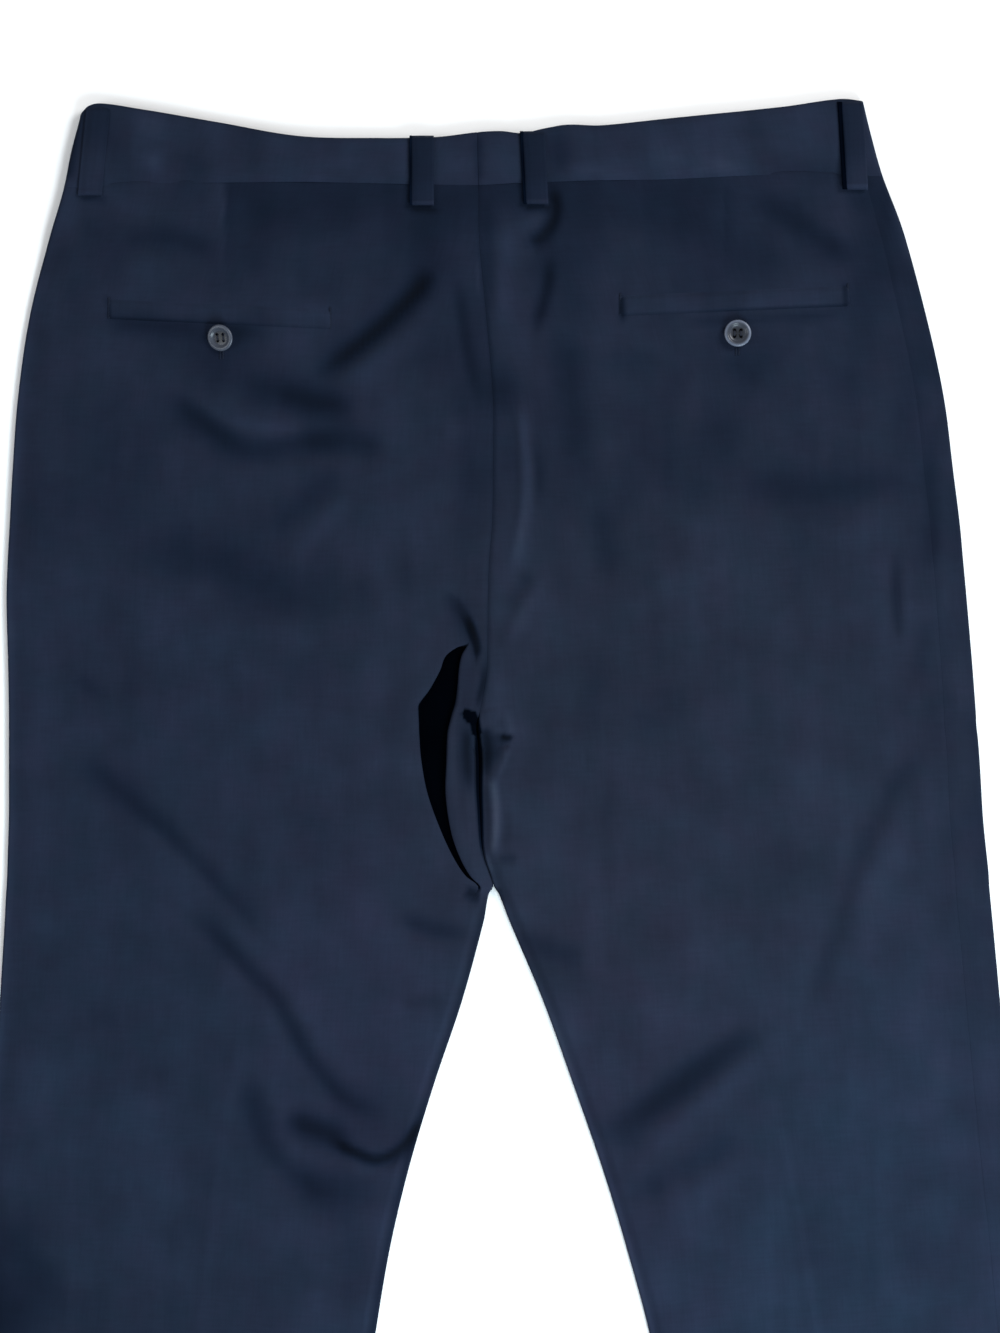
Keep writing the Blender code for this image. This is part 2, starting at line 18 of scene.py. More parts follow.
import bmesh
import bpy
import numpy as np
from mathutils import Euler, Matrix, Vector

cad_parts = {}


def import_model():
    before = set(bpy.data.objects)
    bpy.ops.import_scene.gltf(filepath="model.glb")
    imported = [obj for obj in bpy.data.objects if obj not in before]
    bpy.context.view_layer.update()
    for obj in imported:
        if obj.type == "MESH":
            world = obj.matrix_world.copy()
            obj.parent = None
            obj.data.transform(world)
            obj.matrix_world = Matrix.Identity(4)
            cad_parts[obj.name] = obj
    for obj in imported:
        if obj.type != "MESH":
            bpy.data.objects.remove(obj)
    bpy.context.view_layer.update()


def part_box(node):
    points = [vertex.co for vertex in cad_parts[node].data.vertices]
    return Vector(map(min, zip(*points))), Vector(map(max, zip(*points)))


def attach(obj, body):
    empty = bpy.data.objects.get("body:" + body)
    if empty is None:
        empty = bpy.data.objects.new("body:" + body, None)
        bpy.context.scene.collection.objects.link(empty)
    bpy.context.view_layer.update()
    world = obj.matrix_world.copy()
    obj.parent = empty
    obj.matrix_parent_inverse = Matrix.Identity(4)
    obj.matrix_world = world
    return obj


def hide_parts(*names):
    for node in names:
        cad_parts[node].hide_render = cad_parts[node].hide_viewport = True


LOG = logging.getLogger("trousers")
MM = 0.001
BODY = "root"

Array = np.ndarray
Colour = tuple[float, float, float]
Object = bpy.types.Object
Material = bpy.types.Material
Socket = bpy.types.NodeSocket

# x of the centre seam of the back
CENTRE_SEAM_X = -9.0
# a fold or patch is left out past this many of its own widths
FOLD_REACH = 2.6
PATCH_REACH = 2.4
# height of a patch by its painted light or shade, and the painted shade or highlight of a fold by its height
PATCH_HEIGHT = 0.7
HEIGHT_PER_TONE = 2.6
# a fold fades in from this share of its length before its ends
END_SLACK = 0.05
# least and most that the cloth's colour is multiplied by for its painted light and shade and its mottling,
# and what the painted shade of a recess leaves of it
SHADE_LIMITS = (0.07, 2.2)
RECESS_SHADE = 0.04
WHITE: Colour = (1.0, 1.0, 1.0)


# ------------------------------------------------------------------ numbers and tables

def ramp(value: Array | float, start: float, end: float) -> Array:
    """Rise softly from 0 at start to 1 at end.

    Args:
        value: Where the rise is read.
        start: Value at which it leaves 0.
        end: Value at which it reaches 1.

    Returns:
        The height of the rise at each value.
    """
    t = np.clip((np.asarray(value, dtype=float) - start) / (end - start), 0.0, 1.0)
    return t * t * (3.0 - 2.0 * t)


def mix(a: Array | float, b: Array | float, t: Array | float) -> Array:
    """Return what lies the share t of the way from a to b."""
    return a + (b - a) * t


def bump(distance: Array, width: float) -> Array:
    """Return a soft bell of height 1 that fades over the given width."""
    return np.exp(-(distance / width) ** 2)


class Table:
    """Short table with named columns, read along its first one by a smooth curve."""

    def __init__(self, columns: str, *rows: tuple[float, ...]) -> None:
        """Keep the column names and the rows.

        Args:
            columns: Names of the columns, split by spaces.
            *rows: One tuple of numbers for each row.
        """
        self.names = columns.split()
        self.values = np.array(rows, dtype=float)

    def read(self, column: str, at: Array | float) -> Array:
        """Read a column between its rows.

        Args:
            column: Name of the column.
            at: Values of the first column.

        Returns:
            The column's value at each of them.
        """
        keys = self.values[:, 0]
        values = self.values[:, self.names.index(column)]
        last = len(keys) - 1
        order = np.arange(last + 1)
        low, high = np.maximum(order - 1, 0), np.minimum(order + 1, last)
        slopes = (values[high] - values[low]) / (keys[high] - keys[low])
        at = np.clip(np.asarray(at, dtype=float), keys[0], keys[-1])
        i = np.clip(np.searchsorted(keys, at, side="right") - 1, 0, last - 1)
        span = keys[i + 1] - keys[i]
        t = (at - keys[i]) / span
        start = (2 * t**3 - 3 * t**2 + 1) * values[i] + (t**3 - 2 * t**2 + t) * span * slopes[i]
        end = (3 * t**2 - 2 * t**3) * values[i + 1] + (t**3 - t**2) * span * slopes[i + 1]
        return start + end


class Side(Enum):
    """Half of the garment, as it lies seen from above."""

    LEFT = -1
    RIGHT = 1

    @property
    def word(self) -> str:
        """Name of the half, as the nodes spell it."""
        return self.name.lower()


OUTLINE = Table(
    "drop left_out left_in right_in right_out",
    (0, -253.5, -9.5, -9.5, 227.5),
    (24, -260.5, -9.5, -9.5, 233.5),
    (50, -265.5, -9.0, -9.0, 241.0),
    (86, -275.5, -8.5, -8.5, 255.0),
    (136, -287.5, -4.0, -4.0, 269.0),
    (185, -294.5, 0.0, 0.0, 279.5),
    (230, -297.8, 0.0, 0.0, 285.2),
    (262, -299.5, -0.5, -0.5, 289.2),
    (286, -300.8, -2.4, -2.4, 291.4),
    (309, -301.5, -3.1, -3.1, 293.5),
    (350, -300.5, -3.7, -3.7, 297.0),
    (366, -300.2, -5.8, -5.8, 298.2),
    (380, -300.0, -8.4, -8.4, 299.2),
    (387, -300.0, -9.7, -9.7, 299.5),
    (396, -300.0, -9.3, -9.3, 300.5),
    (409, -300.0, -8.6, -8.6, 301.5),
    (426, -300.0, -8.5, -8.5, 302.5),
    (443, -300.0, -7.8, -7.8, 303.5),
    (461, -300.5, -6.9, -6.9, 305.2),
    (470, -300.8, -5.1, -5.1, 306.2),
    (478, -301.0, -2.4, -2.4, 307.0),
    (486.8, -301.4, 0.3, 0.5, 307.5),
    (490.6, -301.7, -2.3, 3.1, 307.8),
    (498, -302.1, -3.9, 6.2, 308.5),
    (508, -302.6, -5.6, 10.0, 309.5),
    (557, -305.5, -19.2, 31.0, 314.0),
    (607, -308.5, -36.5, 49.5, 318.5),
    (657, -312.0, -52.0, 67.5, 323.0),
    (706, -315.0, -64.0, 83.0, 328.0),
    (763, -318.5, -74.0, 98.5, 333.0),
    (900, -328.5, -97.0, 124.5, 349.5),
    (1110, -343.0, -129.0, 157.0, 371.0),
)
WAIST_EDGE = Table(
    "x top seam",
    (-270, 17.0, 54.0),
    (-256, 11.0, 54.0),
    (-251, 4.8, 53.8),
    (-243, 2.6, 53.5),
    (-219, 6.0, 52.0),
    (-169, 14.5, 51.0),
    (-120, 23.0, 50.5),
    (-70, 24.2, 51.5),
    (-35, 23.6, 52.3),
    (-9, 20.6, 52.5),
    (5, 20.0, 51.8),
    (18, 21.2, 51.0),
    (32, 18.2, 50.6),
    (46, 15.9, 50.2),
    (66, 16.3, 49.5),
    (104, 12.5, 49.0),
    (178, 5.0, 46.0),
    (215, 0.0, 46.5),
    (232, 1.5, 47.0),
    (250, 1.5, 47.0),
)
RIGHT_SIDE_SEAM = Table(
    "drop inset", (0, 10.0), (50, 12.0), (90, 16.0), (260, 19.0), (550, 22.0), (1110, 20.0)
)
# Deep fold beside the crotch: x of its far and near lips, and how far it is open
DEEP_FOLD = Table(
    "drop far near opening",
    (50, -36.0, -24.0, 0.0),
    (250, -27.0, -15.0, 0.0),
    (330, -19.0, -14.2, 0.0),
    (336, -15.9, -14.6, 0.0),
    (338.5, -22.9, -15.6, 1.0),
    (344, -30.0, -18.6, 1.0),
    (352.8, -33.5, -20.2, 1.0),
    (364.6, -40.2, -20.8, 1.0),
    (373.9, -47.4, -21.6, 1.0),
    (379, -47.6, -23.4, 1.0),
    (385, -47.2, -25.2, 1.0),
    (392, -46.8, -26.8, 1.0),
    (408, -45.4, -27.6, 1.0),
    (429.5, -41.2, -28.4, 1.0),
    (453, -32.6, -25.2, 1.0),
    (469.7, -24.6, -19.4, 1.0),
    (480.4, -17.4, -13.2, 1.0),
    (486.8, -9.8, -7.2, 0.4),
    (494, -14.0, -9.5, 0.0),
    (600, -56.0, -43.0, 0.0),
    (763, -97.0, -83.0, 0.0),
    (1110, -153.0, -139.0, 0.0),
)
# Slit between the legs, from the crotch to the fork, painted dark as shade: half its dark width, and how dark
# it is painted
SLIT = Table(
    "drop width depth",
    (0, 0.0, 0.0),
    (378, 0.0, 0.0),
    (385, 1.0, 0.9),
    (391, 1.4, 0.9),
    (401, 2.3, 0.93),
    (412, 2.3, 0.93),
    (426, 1.9, 0.93),
    (440, 1.6, 0.88),
    (453, 1.4, 0.8),
    (465, 1.0, 0.6),
    (476, 0.5, 0.3),
    (487, 0.3, 0.2),
    (489, 0.0, 0.0),
    (1110, 0.0, 0.0),
)


# ------------------------------------------------------------------------ cloth's form

@dataclass(frozen=True)
class Fold:
    """One crease of the cloth: a ridge where height is above zero, else a trough.

    The widths are those on the left and right hand of someone walking along the path.
    The tone is painted shade in a trough and painted highlight on a ridge, in halvings and
    doublings of the cloth's brightness; where none is given, it follows the height.
    """

    path: tuple[tuple[float, float], ...]
    height: float
    left: float
    right: float
    tone: float | None = None
    fade: float = 0.3
    steps: int = 18

    @property
    def shade(self) -> float:
        """Painted shade or highlight at the middle of the fold."""
        return self.height / HEIGHT_PER_TONE if self.tone is None else self.tone

    def track(self) -> Array:
        """Points along the path, on a smooth curve through its own points."""
        points = np.array(self.path, dtype=float)
        keys = np.arange(len(points), dtype=float)
        at = np.linspace(0.0, keys[-1], self.steps)
        columns = [Table("key value", *zip(keys, points[:, axis])) for axis in (0, 1)]
        return np.stack([column.read("value", at) for column in columns], axis=-1)

    def reach(self) -> tuple[Array, Array]:
        """Lowest and highest x and drop that the fold reaches."""
        track = self.track()
        margin = FOLD_REACH * max(self.left, self.right)
        return track.min(axis=0) - margin, track.max(axis=0) + margin

    def bell(self, x: Array, drop: Array) -> Array:
        """Strength of the fold.

        Args:
            x: Places across the garment.
            drop: Places down it.

        Returns:
            A share from 0 to 1 at each place.
        """
        track = self.track()
        best = np.full(x.shape, np.inf)
        place = np.zeros(x.shape)
        hand = np.ones(x.shape)
        for step in range(len(track) - 1):
            start, along = track[step], track[step + 1] - track[step]
            length = float(along @ along)
            t = np.clip(((x - start[0]) * along[0] + (drop - start[1]) * along[1]) / length, 0.0, 1.0)
            off_x = x - start[0] - t * along[0]
            off_d = drop - start[1] - t * along[1]
            away = np.hypot(off_x, off_d)
            closer = away < best
            best = np.where(closer, away, best)
            place = np.where(closer, (step + t) / (len(track) - 1), place)
            hand = np.where(closer, np.sign(along[0] * off_d - along[1] * off_x), hand)
        width = np.where(hand > 0, self.right, self.left)
        ends = ramp(place, -END_SLACK, self.fade) * (1.0 - ramp(place, 1.0 - self.fade, 1.0 + END_SLACK))
        return ends * np.exp(-(best / width) ** 2)


@dataclass(frozen=True)
class Patch:
    """Broad shallow swell or hollow of the cloth, with its painted light or shade."""

    x: float
    drop: float
    half_width: float
    half_length: float
    tone: float
    lean: float = 0.0

    @property
    def shade(self) -> float:
        """Painted light or shade at the middle of the patch."""
        return self.tone

    @property
    def height(self) -> float:
        """Height at the middle of the patch: hollows are the ones painted darker."""
        return PATCH_HEIGHT * self.tone

    def reach(self) -> tuple[Array, Array]:
        """Lowest and highest x and drop that the patch reaches."""
        margin = PATCH_REACH * max(self.half_width, self.half_length)
        middle = np.array((self.x, self.drop))
        return middle - margin, middle + margin

    def bell(self, x: Array, drop: Array) -> Array:
        """Strength of the patch, from 0 to 1, at places of the garment."""
        turn = math.radians(self.lean)
        across = (x - self.x) * math.cos(turn) + (drop - self.drop) * math.sin(turn)
        down = (drop - self.drop) * math.cos(turn) - (x - self.x) * math.sin(turn)
        return np.exp(-(across / self.half_width) ** 2 - (down / self.half_length) ** 2)


# Creases of the cloth: their heights, with painted shade in each trough and painted highlight on each ridge
FOLDS = (
    # left seat
    Fold(((-36, 105), (-44, 115), (-57, 129), (-71, 142), (-88, 156), (-110, 172)),
         -3.4, 4.6, 6.2, -2.4, 0.22),
    Fold(((-30, 122), (-50, 142), (-72, 160), (-92, 182)), 1.3, 9, 7, 0.3),
    Fold(((-166, 176), (-138, 181), (-110, 187), (-82, 194)), -1.6, 11, 12, -1.0),
    Fold(((-197, 176), (-176, 191), (-156, 202), (-122, 204), (-90, 203)), 0.8, 4, 4, 0.32),
    Fold(((-206, 179), (-182, 197), (-151, 216), (-109, 211), (-69, 215)), -2.6, 8, 9),
    Fold(((-129, 224), (-101, 223), (-75, 225)), 0.74, 6, 6, 0.20),
    Fold(((-93, 229), (-116, 248), (-142, 274)), -1.4, 7, 7, -0.45),
    Fold(((-84, 243), (-108, 266), (-136, 296)), 0.6, 6, 6, 0.28),
    Fold(((-120, 211), (-92, 209), (-66, 216)), -0.9, 8, 8, -0.55, 0.2),
    Fold(((-136, 180), (-112, 187), (-84, 189)), -0.9, 7, 7, -0.6, 0.25),
    Fold(((-232, 265), (-188, 283), (-140, 298), (-92, 304)), -1.8, 18, 16),
    Fold(((-213, 309), (-157, 325), (-101, 329)), 0.87, 22, 20, 0.24),
    Fold(((-236, 95), (-214, 85), (-188, 88), (-168, 97)), -1.6, 8, 7),
    Fold(((-231, 107), (-206, 101), (-175, 108)), 0.5, 9, 9, 0.14),
    Fold(((-259, 356), (-249, 363), (-237, 370)), -0.8, 5, 5),
    # beside the centre seam
    Fold(((-22, 108), (-18, 142), (-9, 188)), -1.3, 5, 5),
    Fold(((-29, 197), (-24, 202), (-19, 209)), 0.5, 6, 6, 0.14),
    Fold(((37, 54), (39.5, 65), (37.5, 75), (31, 84), (23, 90)), -2.0, 3.6, 4.2, -1.7, 0.15),
    Fold(((36, 96), (34, 112), (30, 128), (24, 144)), -1.6, 4.0, 4.5, -1.0),
    Fold(((-4, 54), (-4, 90), (-1, 140)), -0.5, 5, 5, -0.45),
    Fold(((-9.6, 98), (-9.2, 122)), 0.1, 1.0, 1.0, 0.4),
    Fold(((6, 104), (6, 136), (4, 168)), 0.74, 9, 9, 0.20),
    Fold(((45, 139), (48, 182), (53, 226)), -1.7, 11, 11),
    Fold(((61, 140), (62, 156), (61, 175)), 0.5, 8, 8, 0.14),
    Fold(((66, 245), (70, 272), (70, 300)), -1.4, 11, 11),
    Fold(((17, 186), (20, 216), (20, 250), (12, 290)), 1.2, 5, 3.6, 0.55, 0.2),
    Fold(((24, 205), (28, 228), (27, 254)), -0.5, 3.5, 3.5, -0.35),
    Fold(((25, 291), (16, 303), (8, 319)), -1.4, 6, 6),
    Fold(((34, 294), (19, 314), (6, 339)), 1.12, 6, 5, 0.31),
    # around the deep fold at the crotch
    Fold(((-34, 342), (-50, 373), (-50, 418), (-40, 457), (-19, 489)), 2.2, 5, 14, -0.1),
    Fold(((-25, 388), (-25, 410), (-21, 446), (-14, 466)), 0.8, 3, 4, 0.05),
    Fold(((-31, 304), (-21, 312), (-14, 324), (-10, 341)), -1.4, 2.2, 6.5, -0.9, 0.35),
    Fold(((-17, 318), (-12, 328), (-9.2, 338), (-10.2, 346)), -1.4, 1.8, 3.0, -2.1, 0.25),
    Fold(((-4.6, 345), (-5.8, 358), (-8.2, 368), (-10.5, 377)), -0.8, 2.0, 2.2, -1.3, 0.4),
    Fold(((-16, 388), (-16, 404), (-14, 430)), -0.6, 3.0, 3.0, -1.3),
    Fold(((-24, 386), (-24.5, 404), (-22, 436)), 0.3, 1.4, 2.0, 0.1),
    Fold(((-4, 375), (1, 373.6), (7, 375)), 0.8, 1.8, 3.0, 0.12),
    Fold(((7.5, 377), (11, 386), (11.5, 393)), 0.7, 2.4, 1.6, 0.2, 0.2),
    Fold(((5.0, 393.2), (8.2, 394.6), (12, 394.2)), -1.5, 1.5, 2.0, -2.8, 0.2),
    Fold(((-7, 388), (-3, 398), (-5, 420)), -1.0, 3.8, 4.6, -1.8),
    Fold(((3, 390.5), (4, 398), (0, 411)), -0.8, 4.0, 4.2, -0.85),
    Fold(((11.5, 399), (7, 409), (1.5, 422)), 0.5, 1.8, 2.4, 0.42),
    Fold(((-1.2, 419), (1.4, 432), (1.8, 450), (-0.6, 467)), 0.9, 3.2, 3.0, 0.9, 0.12),
    Fold(((-4.2, 465), (-2.4, 472), (0.6, 479)), 0.3, 1.8, 1.8, 0.5, 0.3),
    Fold(((8, 436), (9, 450), (7, 464)), -0.5, 3.0, 3.0, -0.2),
    Fold(((3, 471), (9, 469), (16, 470)), -0.6, 3.0, 3.6, -0.6),
    Fold(((-17, 487.5), (-11.5, 491.5), (-7.5, 492)), -1.0, 3.6, 4.8, -1.8, 0.3),
    Fold(((3.6, 487), (5.2, 491), (7.4, 497)), -0.3, 1.2, 1.6, -0.9, 0.2),
    # left leg
    Fold(((-256, 407), (-231, 427), (-202, 453), (-172, 485), (-142, 517)), -2.0, 8, 9, -0.62, 0.2),
    Fold(((-237, 433), (-200, 464), (-166, 498), (-143, 526)), 1.2, 5, 6, 0.25),
    Fold(((-184, 505), (-166, 521), (-149, 541), (-136, 552), (-125, 572), (-115, 590), (-101, 608),
          (-88, 620), (-70, 625)), -2.0, 6.5, 6, -0.8, 0.15),
    Fold(((-128, 545), (-104, 578), (-82, 604)), 0.8, 9, 9, 0.1),
    Fold(((-131, 629), (-109, 637), (-86, 646)), -2.6, 7.5, 8.0, -1.5, 0.3),
    Fold(((-97, 645), (-84, 651), (-71, 655), (-57, 648), (-45, 631)), -2.4, 3.0, 4.2, -2.3, 0.12),
    Fold(((-90, 659), (-75, 664), (-58, 661)), 0.5, 3, 3, 0.3),
    Fold(((-153, 600), (-149, 626), (-138, 648), (-121, 665), (-100, 677)), -1.8, 9, 8, -0.6, 0.2),
    Fold(((-141, 596), (-134, 620), (-122, 626)), 0.7, 6, 6, 0.15),
    Fold(((-61, 504), (-37, 513), (-9, 516)), -1.8, 6, 6),
    Fold(((-57, 562), (-42, 557), (-27, 560)), -1.0, 5, 5),
    Fold(((-308, 690), (-286, 716), (-266, 766)), -1.2, 16, 12, -0.25),
    Fold(((-281, 706), (-265, 720), (-246, 736)), 0.74, 12, 10, 0.20),
    # right leg
    Fold(((166, 576), (138, 592), (108, 615), (66, 642)), -3.0, 9, 9, -1.35),
    Fold(((168, 592), (141, 611), (111, 635), (79, 666)), 1.2, 6, 8, 0.25),
    Fold(((152, 639), (128, 655), (104, 668), (80, 681)), -1.8, 10, 9, -0.5),
    Fold(((153, 657), (128, 672), (104, 685)), 0.74, 12, 12, 0.20),
    Fold(((12, 515), (32, 524), (60, 531)), -1.4, 8, 8),
    Fold(((268, 396), (250, 420), (234, 450), (219, 490), (204, 538), (195, 566)), -1.5, 8, 8, -0.5, 0.2),
    Fold(((255, 433), (240, 477), (221, 520)), 0.56, 12, 12, 0.15),
    # right seat
    Fold(((160, 58), (184, 74), (206, 88), (226, 99)), -1.4, 8, 9, -0.85),
    Fold(((150, 240), (185, 240), (214, 240), (262, 232)), -1.5, 12, 12, -0.65, 0.2),
    Fold(((174, 262), (211, 264), (243, 268)), 0.4, 12, 12, 0.05),
    Fold(((272, 193), (270, 229), (272, 263), (268, 294)), -1.2, 6, 6),
    Fold(((248, 275), (249, 309), (251, 334)), -1.2, 4, 4),
    Fold(((255, 285), (257, 303), (257, 325)), 0.5, 5, 5, 0.14),
    Fold(((267, 317), (263, 340), (260, 365)), -0.9, 8, 8),
    Fold(((144, 156), (153, 167), (167, 175)), -1.0, 10, 10),
)
# Dark knot at the top of the slit between the legs: painted shade
KNOT = (
    Fold(((-18.6, 379.2), (-15.0, 379.0), (-10.6, 379.8)), -1.0, 1.8, 4.2, 0.0, 0.05),
    Fold(((-18.8, 379.4), (-15.4, 380.0), (-12.2, 384.6)), -1.0, 3.4, 4.6, 0.0, 0.10),
    Fold(((-13.2, 380.4), (-11.0, 385.5), (-9.6, 393.0)), -1.0, 3.6, 4.0, 0.0, 0.05),
)
# Painted light and shade, place by place: painted shadows, painted shade in hollows and painted light on
# swells, each with a shallow height
PAINTED_LIGHT_AND_SHADE = (
    # painted shadows beside the belt loops and under their ends
    Fold(((-52, 26), (-52.2, 66)), -0.2, 1.4, 1.4, -0.6, 0.06),
    Fold(((-52, 67.2), (-34, 67.6)), -0.4, 1.6, 2.4, -1.4, 0.15),
    Fold(((17, 24), (19.4, 66)), -0.2, 1.2, 1.2, -0.6, 0.06),
    Fold(((19.5, 66.8), (36, 67.4)), -0.4, 1.4, 2.2, -1.4, 0.15),
    Fold(((-256, 61), (-238, 62)), -0.3, 1.4, 1.8, -0.8, 0.2),
    # waistband
    Fold(((-8.6, 24), (-8.6, 50)), -0.2, 3.6, 3.6, -0.5, 0.1),
    Patch(41, 32, 9, 17, -0.75),
    Patch(58, 44, 13, 5, 0.35),
    Patch(143, 42, 12, 5, 0.4),
    Patch(-22, 42, 10, 9, 0.3),
    Patch(6, 40, 9, 10, 0.25),
    Fold(((-255.5, 6), (-259.5, 28), (-263, 50)), -0.1, 4.0, 4.5, -1.2, 0.12),
    Patch(-237, 22, 12, 14, -0.4),
    Patch(-210, 39, 5, 5, 0.4),
    Patch(-209, 17, 11, 8, 0.28),
    Patch(-184, 40, 14, 7, -0.2),
    Patch(-136, 26, 14, 8, 0.2),
    Patch(-95, 40, 12, 6, 0.25),
    Patch(-72, 34, 8, 10, -0.15),
    Patch(82, 30, 12, 10, -0.2),
    Patch(110, 36, 12, 8, 0.2),
    Patch(153, 20, 24, 8, -0.3),
    Patch(176, 36, 14, 8, -0.25),
    Patch(200, 20, 10, 14, 0.1),
    Patch(186, 45, 30, 8, -0.35),
    # left seat
    Patch(-42, 92, 15, 24, -0.75, lean=12.0),
    Patch(-222, 66, 18, 11, 0.2),
    Patch(-150, 98, 15, 10, -0.25),
    Patch(-167, 148, 13, 14, -0.4),
    Patch(-148, 318, 36, 11, -0.25),
    Patch(-208, 142, 38, 10, -0.45, lean=8.0),
    Patch(-246, 108, 22, 16, -0.2),
    Patch(-238, 218, 50, 40, -0.15),
    Patch(-170, 170, 15, 15, -0.5),
    Patch(-14, 200, 17, 130, -0.36),
    Patch(-20, 326, 12, 14, -0.3),
    Patch(-128, 352, 24, 16, -0.25),
    Patch(-30, 170, 230, 110, -0.14),
    Patch(-40, 294, 22, 36, -0.22),
    Patch(-241, 82, 14, 24, -0.25),
    Fold(((-238, 137), (-190, 140), (-140, 143)), -0.2, 3.6, 6.0, -0.6, 0.12),
    Fold(((120, 137.5), (165, 135.5), (216, 132)), -0.1, 2.4, 3.6, -0.45, 0.1),
    Fold(((79.6, 122), (80.6, 137)), -0.1, 1.8, 2.2, -1.3, 0.12),
    Fold(((76.6, 121), (77.4, 134)), 0.1, 1.0, 1.0, 0.35, 0.12),
    Fold(((217.4, 114), (218.0, 128)), 0.0, 1.3, 1.6, -1.1, 0.12),
    Fold(((-238.2, 122), (-237.2, 136)), 0.0, 1.6, 1.6, -0.8, 0.12),
    Patch(-113, 130, 13, 7, 0.3),
    # right seat
    Patch(23, 76, 13, 6.5, 0.75, lean=-38.0),
    Patch(9, 86, 6, 12, 0.3),
    Patch(45, 92, 20, 20, -0.7),
    Patch(30, 108, 12, 12, -0.25),
    Patch(51, 122, 12, 12, -0.35),
    Patch(52, 218, 12, 22, -0.35),
    Patch(137, 208, 13, 34, -0.42),
    Patch(226, 124, 13, 24, -0.4),
    Patch(24, 356, 20, 26, 0.15),
    Patch(95, 378, 18, 20, -0.22),
    Patch(5, 181, 11, 14, -0.85),
    Patch(6, 123, 8, 18, 0.25),
    Patch(142, 340, 30, 16, -0.35),
    Patch(95, 74, 34, 9, -0.2),
    Patch(160, 97, 27, 17, -0.6),
    Patch(132, 84, 30, 12, -0.3),
    Patch(164, 160, 14, 18, -0.4),
    Patch(88, 160, 12, 9, -0.35),
    Patch(252, 200, 12, 16, -0.35),
    Patch(115, 224, 44, 26, -0.3),
    Patch(214, 172, 20, 14, -0.3),
    # down the right edge
    Patch(240, 92, 17, 36, -0.75),
    Patch(227, 62, 11, 8, -0.5),
    Patch(262, 262, 13, 34, -0.25),
    Patch(266, 160, 15, 50, -0.5),
    Patch(283, 285, 13, 90, -0.4),
    Patch(301, 420, 13, 90, -0.3),
    # legs
    Patch(-18, 404, 7, 32, -0.6),
    Patch(3, 364, 5.5, 13, 0.38),
    Patch(-98, 675, 27, 13, -0.75, lean=4.0),
    Patch(-92, 640, 34, 20, -0.32),
    Patch(-84, 712, 17, 26, -0.5),
    Patch(-42, 425, 9, 42, -0.2),
    Patch(-318, 752, 38, 44, -1.05),
    Patch(-244, 738, 30, 24, -0.25),
    Patch(-290, 560, 26, 130, 0.12),
    Patch(120, 530, 60, 60, 0.1),
    Patch(150, 592, 18, 14, 0.3),
    Patch(78, 640, 14, 12, -0.3),
    # broad swells and hollows
    Patch(-165, 104, 100, 22, -0.16),
    Patch(105, 100, 85, 16, -0.18),
    Patch(176, 66, 26, 11, -0.28),
    Patch(-198, 160, 40, 14, -0.16),
    Patch(66, 160, 13, 14, -0.25),
    Patch(165, 206, 26, 20, -0.16),
    Patch(-130, 249, 20, 15, -0.32, lean=-30.0),
    Patch(-60, 196, 11, 28, 0.2),
    Patch(126, 248, 14, 13, -0.3),
    Patch(36, 278, 11, 13, -0.24),
    Patch(-125, 368, 48, 20, -0.2),
    Patch(112, 367, 34, 19, -0.16),
    Patch(-25, 440, 7, 28, -0.28),
    Patch(-46, 500, 22, 24, -0.24),
    Patch(-100, 668, 22, 11, -0.25),
    Patch(-298, 742, 15, 34, -0.3),
    Patch(302, 545, 10, 56, -0.2),
    Patch(-185, 457, 46, 18, 0.12),
    Patch(214, 515, 22, 24, 0.15),
)
# Pressed creases down the legs, with painted highlight along them
PRESSED_CREASES = (
    Fold(((-150, 546), (-158, 594), (-166, 635), (-174, 700), (-190, 840), (-236, 1090)),
         0.35, 2.6, 2.6, 0.10),
    Fold(((166, 593), (184, 660), (197, 738), (226, 900), (262, 1090)), 0.35, 2.6, 2.6, 0.12),
)


@dataclass(frozen=True)
class Dart:
    """Dart of the seat: a sewn line that dips into the cloth below the waistband."""

    x: float
    depth: float
    end: tuple[float, float]
    start: tuple[float, float] = (50.0, 58.0)
    width: float = 1.3

    def dip(self, x: Array, drop: Array) -> Array:
        """Height that the dart adds, below zero."""
        along = ramp(drop, *self.start) * (1 - ramp(drop, *self.end))
        return -self.depth * bump(x - self.x, self.width) * along


@dataclass(frozen=True)
class Rim:
    """Painted light or shade along one rolled edge, between the drops where it starts and ends.

    The cloth lies inwards of the edge: 1 for towards the right, -1 for towards the left.
    """

    edge: str
    inwards: int
    tone: float
    start: tuple[float, float]
    end: tuple[float, float] = (1200.0, 1201.0)


DARTS = (Dart(-165.0, 0.5, (90.0, 112.0)), Dart(144.0, 0.4, (84.0, 104.0)))
RIMS = (
    Rim("left_out", 1, 0.45, (100.0, 160.0)),
    Rim("left_in", -1, -0.7, (487.0, 503.0)),
    Rim("right_in", 1, 0.5, (520.0, 560.0)),
    Rim("right_out", -1, 0.5, (60.0, 75.0), (90.0, 120.0)),
)


def read_grid(values: Array, row: Array, column: Array, wrap: bool = False) -> Array:
    """Read a raster between its points, which are given as whole and broken rows and columns.

    Args:
        values: The raster.
        row: Place down it.
        column: Place across it.
        wrap: Whether the raster repeats, with soft steps, instead of ending.

    Returns:
        The value at each place.
    """
    i, j = np.floor(row).astype(int), np.floor(column).astype(int)
    down, across = row - i, column - j
    rows, columns = (i, i + 1), (j, j + 1)
    if wrap:
        down, across = ramp(down, 0, 1), ramp(across, 0, 1)
        rows, columns = (i % len(values), (i + 1) % len(values)), (j % len(values), (j + 1) % len(values))
    upper = mix(values[rows[0], columns[0]], values[rows[0], columns[1]], across)
    lower = mix(values[rows[1], columns[0]], values[rows[1], columns[1]], across)
    return mix(upper, lower, down)


